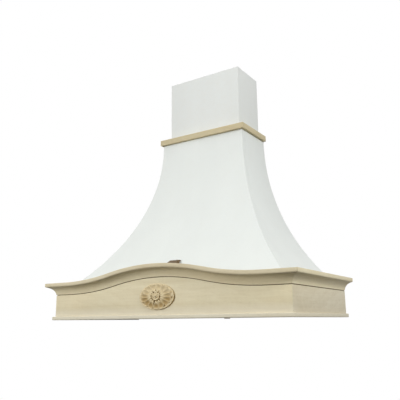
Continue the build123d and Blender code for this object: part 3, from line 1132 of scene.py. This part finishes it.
@dataclass(frozen=True)
class Frieze(Surround):
    """Boards of the skirt; the front one is cut to the serpentine along its top."""

    height: float = 0.0855
    board: float = 0.018
    wave: Serpentine = Serpentine()

    def section(self, piece: Workpiece) -> Workpiece:
        """Draws the section of a side board."""
        foot = piece.begin(-self.board, 0.0).line((0.0, 0.0))
        return foot.line((0.0, self.height), (-self.board, self.height)).close()

    def front(self) -> None:
        """Cuts the front board."""
        end, start = self.half_width, self.wave.half
        piece = Workpiece(new_name("frieze_front"), out=Vector((1, 0, 0)), origin=Vector((0, -self.depth, 0)))
        piece.begin(-end, 0.0).line((-end, self.height), (-start, self.height))
        for across, up, turn, steps in self.wave.bends(self.height):
            piece.arc((across, up), turn, steps)
        piece.line((end, self.height), (end, 0.0)).close().run(Vector((0, self.board, 0)))
        self.finish_front(piece)


@dataclass(frozen=True)
class Crown(Surround):
    """Crown moulding that follows the serpentine: quirk, cove, step, ovolo and nose."""

    board: float = Frieze.board
    wave: Serpentine = Frieze.wave
    quirk: float = 0.002
    lip: float = 0.001
    cove_rise: float = 0.0248
    cove_hollow: float = 0.0056
    cove_steps: int = 18
    step: float = 0.0010
    ovolo_flat: float = 0.0024
    ovolo_radius: float = 0.0042
    ovolo_steps: int = 10
    nose: float = 0.0092

    def section(self, piece: Workpiece) -> Workpiece:
        """Draws the crown's section.

        Args:
            piece: Piece whose plane stands on the joint between frieze and crown.

        Returns:
            The piece, with its section filled and selected.
        """
        ovolo_out = self.reach - self.ovolo_radius
        cove_out = ovolo_out - self.ovolo_flat
        cove_up = self.quirk + self.cove_rise
        step_up = cove_up + self.step
        ovolo_up = step_up + self.ovolo_radius
        top = ovolo_up + self.nose
        piece.begin(-self.board, 0.0).line((-self.quirk, 0.0), (-self.quirk, self.quirk))
        piece.line((self.lip, self.quirk)).hollow((cove_out, cove_up), self.cove_hollow, self.cove_steps)
        piece.line((cove_out, step_up), (ovolo_out, step_up))
        piece.arc((ovolo_out, ovolo_up), 90.0, self.ovolo_steps)
        return piece.line((self.reach, top), (-self.board, top)).close()

    def run_front(self, piece: Workpiece) -> None:
        """Runs the section along the level ends and swings it along the bends.

        Args:
            piece: Piece with its section selected at the left end.
        """
        level = Vector((self.half_width + self.reach - self.wave.half, 0, 0))
        piece.run(level)
        for across, up, turn, steps in self.wave.bends(self.foot):
            piece.swing(Vector((across, 0, up)), Vector((0, -1, 0)), turn, steps)
        piece.run(level)

    def finish(self, piece: Workpiece, look: str, axis: int, plane: float) -> None:
        """Finishes a length and gives the faces in the quirk above the frieze a near-black finish of painted
        shade.

        Args:
            piece: Mitred length of crown.
            look: Which finish it has, that of the front or of the sides.
            axis: Axis that the length stands out along.
            plane: Distance of the frieze's face along that axis.
        """
        super().finish(piece, look, axis, plane)
        mesh = piece.body.data
        # Second finish: painted shade in the quirk.
        mesh.materials.append(QUIRK_SHADE.material())
        for face in mesh.polygons:
            if -self.quirk - self.lip / 2 < abs(face.center[axis]) - plane < self.lip / 2:
                face.material_index = 1


@dataclass(frozen=True)
class Skirt:
    """Frieze boards, the crown moulding on them and the bead round their foot."""

    frieze: Frieze = Frieze("frieze")
    crown: Crown = Crown("crown", foot=Frieze.height, reach=0.0297)
    bead: Strip = Strip("bead", reach=0.008)

    def build(self) -> None:
        """Builds and dresses every board of the skirt."""
        Surround.build_all(self.frieze, self.crown, self.bead)


# ---- Carved flower ----


@dataclass(frozen=True)
class Station:
    """Cross-section of a carved leaf: where it is, its width, its height and how far its edges curl up."""

    along: float
    width: float
    height: float
    curl: float


@dataclass(frozen=True)
class CarvedFlower:
    """Oval flower on the front board: fluted leaves out to a low rim, and a whorl round a pierced button."""

    half_width: float = 0.067
    half_height: float = 0.0405
    thickness: float = 0.011
    centre_height: float = 0.0675
    back: float = -0.440
    rim_width: float = 0.0028
    rim_height: float = 0.0042
    rim_slope: float = 0.004
    rim_gap: float = 0.0015
    field_height: float = 0.0020
    leaves: int = 15
    leaf_start: float = 0.0115
    leaf_height: float = 0.0098
    leaf_overlap: float = 1.10
    petals: int = 6
    petal_length: float = 0.0125
    petal_width: float = 0.0125
    petal_height: float = 0.01078
    petal_start: float = 0.00204
    button_radius: float = 0.0034
    button_thick: float = 0.00136
    voxel: float = 0.00055
    leaf_strips: int = 8
    aside: float = 10.0
    curl_steps: tuple[tuple[float, float], ...] = ((0.12, 0.1), (0.24, 0.3), (0.37, 0.6), (0.49, 0.0))
    edge_drop: float = 0.18
    leaf_form: tuple[Station, ...] = (
        Station(0.00, 0.10, 0.30, -0.05), Station(0.07, 0.18, 0.70, -0.12), Station(0.15, 0.28, 1.00, -0.14),
        Station(0.24, 0.40, 0.98, -0.08), Station(0.34, 0.53, 0.80, 0.04), Station(0.45, 0.66, 0.54, 0.20),
        Station(0.56, 0.78, 0.36, 0.32), Station(0.68, 0.88, 0.34, 0.32), Station(0.79, 0.91, 0.44, 0.24),
        Station(0.88, 0.80, 0.62, 0.08), Station(0.95, 0.56, 0.68, -0.04), Station(1.00, 0.24, 0.48, -0.10),
    )
    petal_form: tuple[Station, ...] = (
        Station(0.00, 0.50, 0.74, 0.00), Station(0.20, 0.62, 0.70, 0.06), Station(0.45, 0.86, 0.66, 0.16),
        Station(0.68, 1.00, 0.74, 0.18), Station(0.86, 0.86, 0.94, 0.02), Station(1.00, 0.40, 0.80, -0.06),
    )

    def ground(self) -> bpy.types.Object:
        """Builds the oval ground with its low rim.

        Returns:
            The ground.
        """
        piece = Workpiece("flower_ground")
        piece.clear_bench()
        bpy.ops.mesh.primitive_cylinder_add(vertices=96, radius=1.0, depth=self.rim_height)
        piece.take()
        bpy.ops.transform.resize(value=(self.half_width, self.half_height, 1.0), center_override=(0, 0, 0))
        bpy.ops.transform.translate(value=(0, 0, self.rim_height / 2))
        bpy.ops.mesh.select_all(action="DESELECT")
        bpy.ops.object.mode_set(mode="OBJECT")
        for face in piece.body.data.polygons:
            face.select = face.normal.z > 0.9
        bpy.ops.object.mode_set(mode="EDIT")
        bpy.ops.mesh.inset(thickness=self.rim_width, depth=0.0)
        bpy.ops.mesh.inset(thickness=self.rim_slope, depth=self.field_height - self.rim_height)
        bpy.ops.object.mode_set(mode="OBJECT")
        return piece.body

    @staticmethod
    def pick_row(thing: bpy.types.Object, here: float, edge: float = -1.0) -> None:
        """Selects the points of one row of a leaf, in edit mode.

        Args:
            thing: Object in edit mode.
            here: Where the row is along X.
            edge: Distance from the middle line that the points lie beyond.
        """
        bpy.ops.object.mode_set(mode="OBJECT")
        mesh = thing.data
        for part in (*mesh.polygons, *mesh.edges):
            part.select = False
        for point in mesh.vertices:
            point.select = abs(point.co.x - here) < 0.01 and abs(point.co.y) > edge
        bpy.ops.object.mode_set(mode="EDIT")

    def leaf(self, form: tuple[Station, ...]) -> bpy.types.Object:
        """Shapes one leaf of unit length along X from its cross-sections.

        Args:
            form: The cross-sections, from the base to the tip.

        Returns:
            The leaf, a closed body.
        """
        piece = Workpiece("flower_leaf")
        piece.clear_bench()
        rows = len(form) - 1
        bpy.ops.mesh.primitive_grid_add(x_subdivisions=rows, y_subdivisions=self.leaf_strips, size=1.0)
        piece.take()
        bpy.ops.transform.translate(value=(self.aside + 0.5, 0, 0))
        for row, station in enumerate(form):
            here = self.aside + row / rows
            self.pick_row(piece.body, here)
            bpy.ops.transform.resize(value=(1, station.width, 1), center_override=(here, 0, 0))
            bpy.ops.transform.translate(value=(0, 0, station.height))
            for part, share in self.curl_steps:
                self.pick_row(piece.body, here, part * station.width)
                lift = share * station.curl if share else -self.edge_drop * station.height
                bpy.ops.transform.translate(value=(0, 0, lift))
            self.pick_row(piece.body, here)
            bpy.ops.transform.translate(value=(station.along - here, 0, 0))
        bpy.ops.mesh.select_all(action="SELECT")
        bpy.ops.mesh.extrude_region_move(TRANSFORM_OT_translate={"value": (0, 0, -1)})
        bpy.ops.transform.resize(value=(1, 1, 0), center_override=(0, 0, 0))
        piece.settle()
        piece.modify("SUBSURF", levels=1, render_levels=1)
        return piece.body

    @staticmethod
    def lay(pattern: bpy.types.Object, turn: float, start: float, size: Vector) -> bpy.types.Object:
        """Lays a copy of a pattern of unit length, turned, from a start along its way, at a size."""
        place = Matrix.Rotation(turn, 4, "Z") @ Matrix.Translation((start, 0, 0))
        return copy_of(pattern, place @ Matrix.Diagonal((*size, 1.0)))

    def ring_of_leaves(self, pattern: bpy.types.Object) -> list[bpy.types.Object]:
        """Lays the long leaves from the whorl to the rim.

        Args:
            pattern: Leaf of unit length and width.

        Returns:
            The leaves.
        """
        laid = []
        wide, high = self.half_width - self.rim_gap, self.half_height - self.rim_gap
        for index in range(self.leaves):
            part = 2 * pi * (index + 0.25) / self.leaves + 0.05 * sin(3.1 * index)
            tip = Vector((wide * cos(part), high * sin(part)))
            along = Vector((-wide * sin(part), high * cos(part)))
            apart = along.length * 2 * pi / self.leaves * abs(sin(tip.angle(along)))
            tall = self.leaf_height * (0.95 + 0.05 * cos(1.7 * index))
            size = Vector((tip.length - self.leaf_start, self.leaf_overlap * apart, tall))
            laid.append(self.lay(pattern, atan2(tip.y, tip.x), self.leaf_start, size))
        return laid

    def whorl(self, pattern: bpy.types.Object) -> list[bpy.types.Object]:
        """Lays the cupped petals round the middle, the upper ones longer, and the pierced button.

        Args:
            pattern: Petal of unit length and width.

        Returns:
            The petals and the button.
        """
        laid = []
        for index in range(self.petals):
            turn = pi / 2 + 2 * pi * index / self.petals
            long = self.petal_length * (1 + 0.2 * sin(turn))
            size = Vector((long, self.petal_width, self.petal_height))
            laid.append(self.lay(pattern, turn, self.petal_start, size))
        Workpiece.clear_bench()
        thick = self.button_thick
        bpy.ops.mesh.primitive_torus_add(
            major_radius=self.button_radius, minor_radius=thick, major_segments=40, minor_segments=10,
            location=(0, 0, self.thickness - thick),
        )
        bpy.ops.object.transform_apply(location=True, rotation=True, scale=True)
        laid.append(bpy.context.object)
        return laid

    def build(self) -> None:
        """Joins ground, leaves and whorl into one carving and sets it on the front board."""
        leaf, petal = self.leaf(self.leaf_form), self.leaf(self.petal_form)
        parts = [self.ground()] + self.ring_of_leaves(leaf) + self.whorl(petal)
        bpy.data.objects.remove(leaf)
        bpy.data.objects.remove(petal)
        piece = Workpiece(new_name("rosette")).gather(parts)
        piece.modify("REMESH", mode="VOXEL", voxel_size=self.voxel, use_smooth_shade=True)
        piece.modify("SMOOTH", factor=0.5, iterations=2)
        upright = Matrix(((1, 0, 0, 0), (0, 0, -1, self.back), (0, 1, 0, self.centre_height), (0, 0, 0, 1)))
        piece.body.data.transform(upright)
        piece.settle().smooth(60.0).dress(CARVED)


# ---- Bell and crest block ----


@dataclass(frozen=True)
class Bell:
    """Three boards bent to a flare, and the block glued to its foot behind the crest, coloured near-black as
    painted shade.
    """

    foot: float = 0.1297
    neck: float = 0.665
    neck_half: float = 0.174
    neck_depth: float = 0.177
    foot_half: float = 0.401
    foot_depth: float = 0.388
    skin: float = 0.018
    slices: int = 44
    eased: float = 0.0008
    block_half: float = 0.019
    block_top: float = 0.189
    block_reach: float = 0.347
    block_front: float = 0.422
    block_lip: float = 0.020
    block_steps: int = 6
    block_eased: float = 0.0006
    glue: float = 0.0002

    @staticmethod
    def radius(height: float, run: float) -> float:
        """Radius of a flare that is upright at the neck and has a given height and run."""
        return (height**2 + run**2) / (2 * run)

    def flare(self, start: float, foot: float, z: float, inset: float = 0.0) -> float:
        """How far a board's face, or a line behind it, stands out at a height, from its two ends."""
        radius = self.radius(self.neck - self.foot, foot - start)
        return start + radius - sqrt((radius + inset) ** 2 - (self.neck - z) ** 2)

    def side(self, z: float, inset: float = 0.0) -> float:
        """Half width of the bell at a height, or of a line behind its face."""
        return self.flare(self.neck_half, self.foot_half, z, inset)

    def front(self, z: float, inset: float = 0.0) -> float:
        """Depth of the bell at a height, or of a line behind its face."""
        return self.flare(self.neck_depth, self.foot_depth, z, inset)

    def heights(self) -> list[float]:
        """Cuts the flare at equal turns.

        Returns:
            Heights of the slices, from the foot up.
        """
        radius = self.radius(self.neck - self.foot, self.foot_half - self.neck_half)
        whole = asin((self.neck - self.foot) / radius)
        turns = (whole * (1 - index / self.slices) for index in range(self.slices + 1))
        return [self.neck - radius * sin(turn) for turn in turns]

    def stack(self, piece: Workpiece, outline: Callable[[float], tuple[float, ...]]) -> Workpiece:
        """Raises a board slice by slice: the top is extruded, then sized and moved to the next slice.

        Args:
            piece: Piece to build.
            outline: Gives the lowest and highest x and y of the slice at a height.

        Returns:
            The piece, settled.
        """
        piece.clear_bench()
        bpy.ops.mesh.primitive_plane_add(size=1.0)
        piece.take()
        here, size = Vector(), Vector((1.0, 1.0))
        for index, level in enumerate(self.heights()):
            x_low, x_high, y_low, y_high = outline(level)
            there = Vector(((x_low + x_high) / 2, (y_low + y_high) / 2, level))
            if index:
                piece.run(there - here)
            else:
                bpy.ops.transform.translate(value=there)
            wide, deep = x_high - x_low, y_high - y_low
            bpy.ops.transform.resize(value=(wide / size.x, deep / size.y, 1.0), center_override=there)
            here, size = there, Vector((wide, deep))
        return piece.settle()

    def boards(self) -> None:
        """Bends the front board and the two side boards that it covers the edges of."""
        piece = self.stack(
            Workpiece(new_name("bell_front")),
            lambda z: (-self.side(z), self.side(z), -self.front(z), -self.front(z, self.skin)),
        )
        piece.ease(self.eased, EDGE_STEPS).dress(BELL_WHITE)
        for side in Side:

            def outline(z: float, sign: int = side.value) -> tuple[float, float, float, float]:
                """Lowest and highest x and y of a side board at a height."""
                across = sorted((sign * self.side(z, self.skin), sign * self.side(z)))
                return (*across, -self.front(z, self.skin), 0.0)

            piece = self.stack(Workpiece(new_name(f"bell_{side.label}")), outline)
            piece.ease(self.eased, EDGE_STEPS).dress(BELL_WHITE)

    def crest_block(self) -> None:
        """Cuts the sloping block and fits its back to the bell."""
        end = Vector((-self.block_half, 0, 0))
        piece = Workpiece(new_name("crest_block"), out=Vector((0, -1, 0)), origin=end)
        piece.begin(self.front(self.foot) + self.glue, self.foot)
        rise = (self.block_top - self.foot) / self.block_steps
        for index in range(1, self.block_steps + 1):
            z = self.foot + rise * index
            piece.line((self.front(z) + self.glue, z))
        piece.line((self.block_reach, self.block_top), (self.block_front, self.foot + self.block_lip))
        piece.line((self.block_front, self.foot)).close()
        piece.run(Vector((2 * self.block_half, 0, 0)))
        # Near-black finish: painted shade behind the crest.
        piece.ease(self.block_eased).dress(SHADED_BLOCK)

    def build(self) -> None:
        """Builds and dresses the bell and its block."""
        self.boards()
        self.crest_block()


# ---- Neck trim and chimney ----


@dataclass(frozen=True)
class NeckTrim:
    """Flat trim on the top edges of the bell."""

    strip: Strip = Strip(
        "trim", half_width=0.174, depth=0.177, foot=0.665, reach=0.0095, inner=-0.0195, height=0.0217,
        rounding=0.0015, round_steps=5,
    )

    def build(self) -> None:
        """Builds and dresses the three lengths of trim."""
        Surround.build_all(self.strip)


@dataclass(frozen=True)
class Chimney:
    """Three boards of the sliding chimney; the battens and cleats inside keep their solids."""

    rounding: float = 0.001

    def board(self, name: str, out: Vector) -> None:
        """Draws the upright section of a board, runs it over the board's width and eases its edges.

        Args:
            name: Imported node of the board.
            out: Direction from the board's inner face to its outer face.
        """
        low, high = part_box(name)
        size = high - low
        foot = Vector((high.x if out.x < 0 else low.x, high.y, low.z))
        thick, width = (size.x, Vector((0, -size.y, 0))) if out.x else (size.y, Vector((size.x, 0, 0)))
        piece = Workpiece(new_name(name), out=out, origin=foot).begin(0.0, 0.0)
        piece.line((thick, 0.0), (thick, size.z), (0.0, size.z)).close().run(width).settle()
        # The chimney gets the bell's primer, darkened as painted shade.
        piece.ease(self.rounding, EDGE_STEPS).dress(CHIMNEY_SHADED_WHITE, "chimney")

    def build(self) -> None:
        """Makes the front board and the two side boards behind it."""
        self.board("chimney_front", Vector((0, -1, 0)))
        for side in Side:
            self.board(f"chimney_{side.label}", Vector((side.value, 0, 0)))


# ---- Inside and fixings ----


@dataclass(frozen=True)
class Carcass:
    """Boards, ribs, battens and rails inside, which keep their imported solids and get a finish."""

    stays: tuple[tuple[Finish, str], ...] = (
        (plywood(Layers.UPRIGHT), "deck_board insert_board neck_former"),
        (plywood(Layers.ACROSS, Grain.UPRIGHT), "rib_front_left rib_front_middle rib_front_right"),
        (plywood(Layers.DEPTH), "rib_side_left rib_side_right rib_wall_left rib_wall_right"),
        (plywood(Layers.DEPTH), "wall_rail_lower wall_rail_upper"),
        (softwood(Grain.ACROSS), "board_cleat_front deck_cleat_front ceiling_cleat_front ceiling_cleat_wall"),
        (softwood(Grain.ACROSS), "chimney_spreader"),
        (softwood(Grain.DEPTH), "board_cleat_left board_cleat_right deck_cleat_left deck_cleat_right"),
        (softwood(Grain.UPRIGHT), "corner_block_left corner_block_right"),
        (softwood(Grain.UPRIGHT), "arris_batten_left arris_batten_right"),
        (softwood(Grain.UPRIGHT), "chimney_batten_front_left chimney_batten_front_right"),
        (softwood(Grain.UPRIGHT), "chimney_batten_wall_left chimney_batten_wall_right"),
    )

    def build(self) -> None:
        """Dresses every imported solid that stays."""
        for finish, names in self.stays:
            for name in names.split():
                finish.put_on(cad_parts[name])
                log.info("%s: packed solid, %s", name, finish.name)


@dataclass(frozen=True)
class BoardScrews:
    """Six pan-head screws that hold the insert board, each with a cross recess."""

    head_radius: float = 0.004
    head_height: float = 0.0022
    crown: tuple[tuple[float, float], ...] = ((0.55, 1.0), (0.8, 0.8), (1.0, 0.35))
    shank_radius: float = 0.0018
    point: float = 0.0018
    length: float = 0.032
    seat: float = 0.012
    sides: int = 24
    recess_turn: float = 0.1
    first_turn: float = 0.3
    next_turn: float = 0.7
    recess: tuple[float, float, float] = (1.02, 0.22, 1.2)
    places: tuple[tuple[float, float], ...] = (
        (-0.216, -0.413), (0.216, -0.413), (-0.423, -0.3075), (-0.423, -0.1145), (0.423, -0.3075),
        (0.423, -0.1145),
    )

    def pattern(self) -> bpy.types.Object:
        """Turns one screw, head down, with its seat at the origin.

        Returns:
            The screw.
        """
        head, tall = self.head_radius, self.head_height
        piece = Workpiece("board_screw_pattern", out=Vector((1, 0, 0)))
        piece.begin(0.0, -tall).line(*((out * head, -up * tall) for out, up in self.crown), (head, 0.0))
        tip = self.length - self.point
        piece.line((self.shank_radius, 0.0), (self.shank_radius, tip), (0.0, self.length))
        bpy.ops.mesh.select_all(action="SELECT")
        bpy.ops.mesh.spin(steps=self.sides, angle=2 * pi, center=(0, 0, 0), axis=(0, 0, 1))
        piece.settle()
        long, wide, deep = self.recess
        for turn in (self.recess_turn, self.recess_turn + pi / 2):
            piece.clear_bench()
            place, scale = (0, 0, -tall), (long * head, wide * head, deep * tall)
            bpy.ops.mesh.primitive_cube_add(size=1.0, location=place, rotation=(0, 0, turn), scale=scale)
            blade = bpy.context.object
            bpy.context.view_layer.objects.active = piece.body
            piece.modify("BOOLEAN", object=blade, operation="DIFFERENCE", solver="EXACT")
            bpy.data.objects.remove(blade)
        return piece.smooth(35.0).body

    def build(self) -> None:
        """Copies the screw to its six places, each turned another way, and joins the copies."""
        pattern = self.pattern()
        copies = []
        for index, (x, y) in enumerate(self.places):
            turn = Matrix.Rotation(self.first_turn + self.next_turn * index, 4, "Z")
            copies.append(copy_of(pattern, Matrix.Translation((x, y, self.seat)) @ turn))
        bpy.data.objects.remove(pattern)
        Workpiece(new_name("board_screws")).gather(copies).dress(ZINC)


# ---- Studio ----


@dataclass(frozen=True)
class Lamp:
    """Square soft lamp: its name, where it hangs, its size and its power in watts."""

    name: str
    place: tuple[float, float, float]
    size: float
    power: float

    def hang(self, aim: Vector) -> None:
        """Hangs the lamp.

        Args:
            aim: Point that it shines at.
        """
        data = bpy.data.lights.new(self.name, "AREA")
        data.size = self.size
        data.energy = self.power
        lamp = bpy.data.objects.new(self.name, data)
        lamp.location = self.place
        lamp.rotation_euler = (aim - Vector(self.place)).to_track_quat("-Z", "Y").to_euler()
        bpy.context.scene.collection.objects.link(lamp)


@dataclass(frozen=True)
class Studio:
    """Plain pale floor, soft lamps, white surroundings and the camera of the photograph."""

    floor_height: float = -1.6
    floor_size: float = 13.0
    floor_seen: Colour = (0.86, 0.86, 0.86)
    floor_bounce: Colour = (0.05, 0.047, 0.04)
    floor_glow: float = 0.45
    ambient: float = 0.28
    aim: tuple[float, float, float] = (0.0, -0.25, 0.4)
    lamps: tuple[Lamp, ...] = (
        Lamp("key_lamp", (-2.75, -4.44, 1.4), 1.5, 150.0),
        Lamp("top_lamp", (0.2, -0.9, 3.4), 2.0, 12.0),
        Lamp("right_lamp", (3.7, -1.3, 1.7), 1.6, 96.0),
        Lamp("back_lamp", (-1.6, 3.4, 1.4), 2.5, 50.0),
    )
    camera_place: tuple[float, float, float] = (1.00552, -1.74979, -0.008)
    camera_yaw: float = 32.793
    camera_pitch: float = 13.052
    camera_roll: float = -0.561
    focal_length: float = 47.025
    sensor: float = 36.0

    @staticmethod
    def seen_rays(bench: ShaderBench) -> Socket:
        """Mask of camera, glossy and transmission rays.

        Args:
            bench: Bench of the material or world.

        Returns:
            Socket with the mask.
        """
        rays = bench.add("ShaderNodeLightPath").outputs
        either = bench.sum("MAXIMUM", rays["Is Camera Ray"], rays["Is Glossy Ray"])
        return bench.sum("MAXIMUM", either, rays["Is Transmission Ray"])

    def floor(self) -> None:
        """Lays the floor, which keeps the cover's soft shadow."""
        Workpiece.clear_bench()
        bpy.ops.mesh.primitive_plane_add(size=self.floor_size, location=(0, 0, self.floor_height))
        floor = bpy.context.object
        floor.name = "studio_floor"
        made = bpy.data.materials.new("studio_floor")
        bench = ShaderBench.on(made)
        seen = self.seen_rays(bench)
        shader = bench.add("ShaderNodeBsdfPrincipled", {"Roughness": 0.9, "Emission Color": WHITE})
        bench.feed(shader, "Base Color", bench.blend(seen, self.floor_bounce, self.floor_seen))
        bench.feed(shader, "Emission Strength", bench.times(seen, self.floor_glow))
        bench.add("ShaderNodeOutputMaterial", {"Surface": shader.outputs["BSDF"]})
        floor.data.materials.append(made)

    def surroundings(self) -> None:
        """Sets the even light all round, and white where the camera looks past the cover."""
        world = bpy.data.worlds.new("studio")
        bpy.context.scene.world = world
        bench = ShaderBench.on(world)
        even = bench.add("ShaderNodeBackground", {"Color": WHITE, "Strength": self.ambient})
        white = bench.add("ShaderNodeBackground", {"Color": WHITE, "Strength": 1.0})
        mixed = {0: self.seen_rays(bench), 1: even.outputs[0], 2: white.outputs[0]}
        both = bench.add("ShaderNodeMixShader", mixed)
        bench.add("ShaderNodeOutputWorld", {"Surface": both.outputs[0]})

    def camera(self) -> None:
        """Sets the camera where the photograph was taken from."""
        data = bpy.data.cameras.new("photo_camera")
        data.lens = self.focal_length
        data.sensor_width = self.sensor
        camera = bpy.data.objects.new("photo_camera", data)
        camera.matrix_world = Matrix.Translation(self.camera_place)
        for angle, axis in ((self.camera_yaw, "Z"), (90.0 + self.camera_pitch, "X"), (self.camera_roll, "Z")):
            camera.matrix_world = camera.matrix_world @ Matrix.Rotation(radians(angle), 4, axis)
        bpy.context.scene.collection.objects.link(camera)
        bpy.context.scene.camera = camera

    def build(self) -> None:
        """Builds floor, surroundings, lamps and camera."""
        self.floor()
        self.surroundings()
        for lamp in self.lamps:
            lamp.hang(Vector(self.aim))
        self.camera()
        bpy.context.scene.view_settings.view_transform = "Standard"


def main() -> None:
    """Builds and dresses the cover, part by part, and sets up the studio."""
    parts = (Skirt(), CarvedFlower(), Bell(), NeckTrim(), Chimney(), Carcass(), BoardScrews(), Studio())
    for part in parts:
        log.info("== %s", type(part).__name__)
        part.build()


if __name__ == "__main__":
    main()
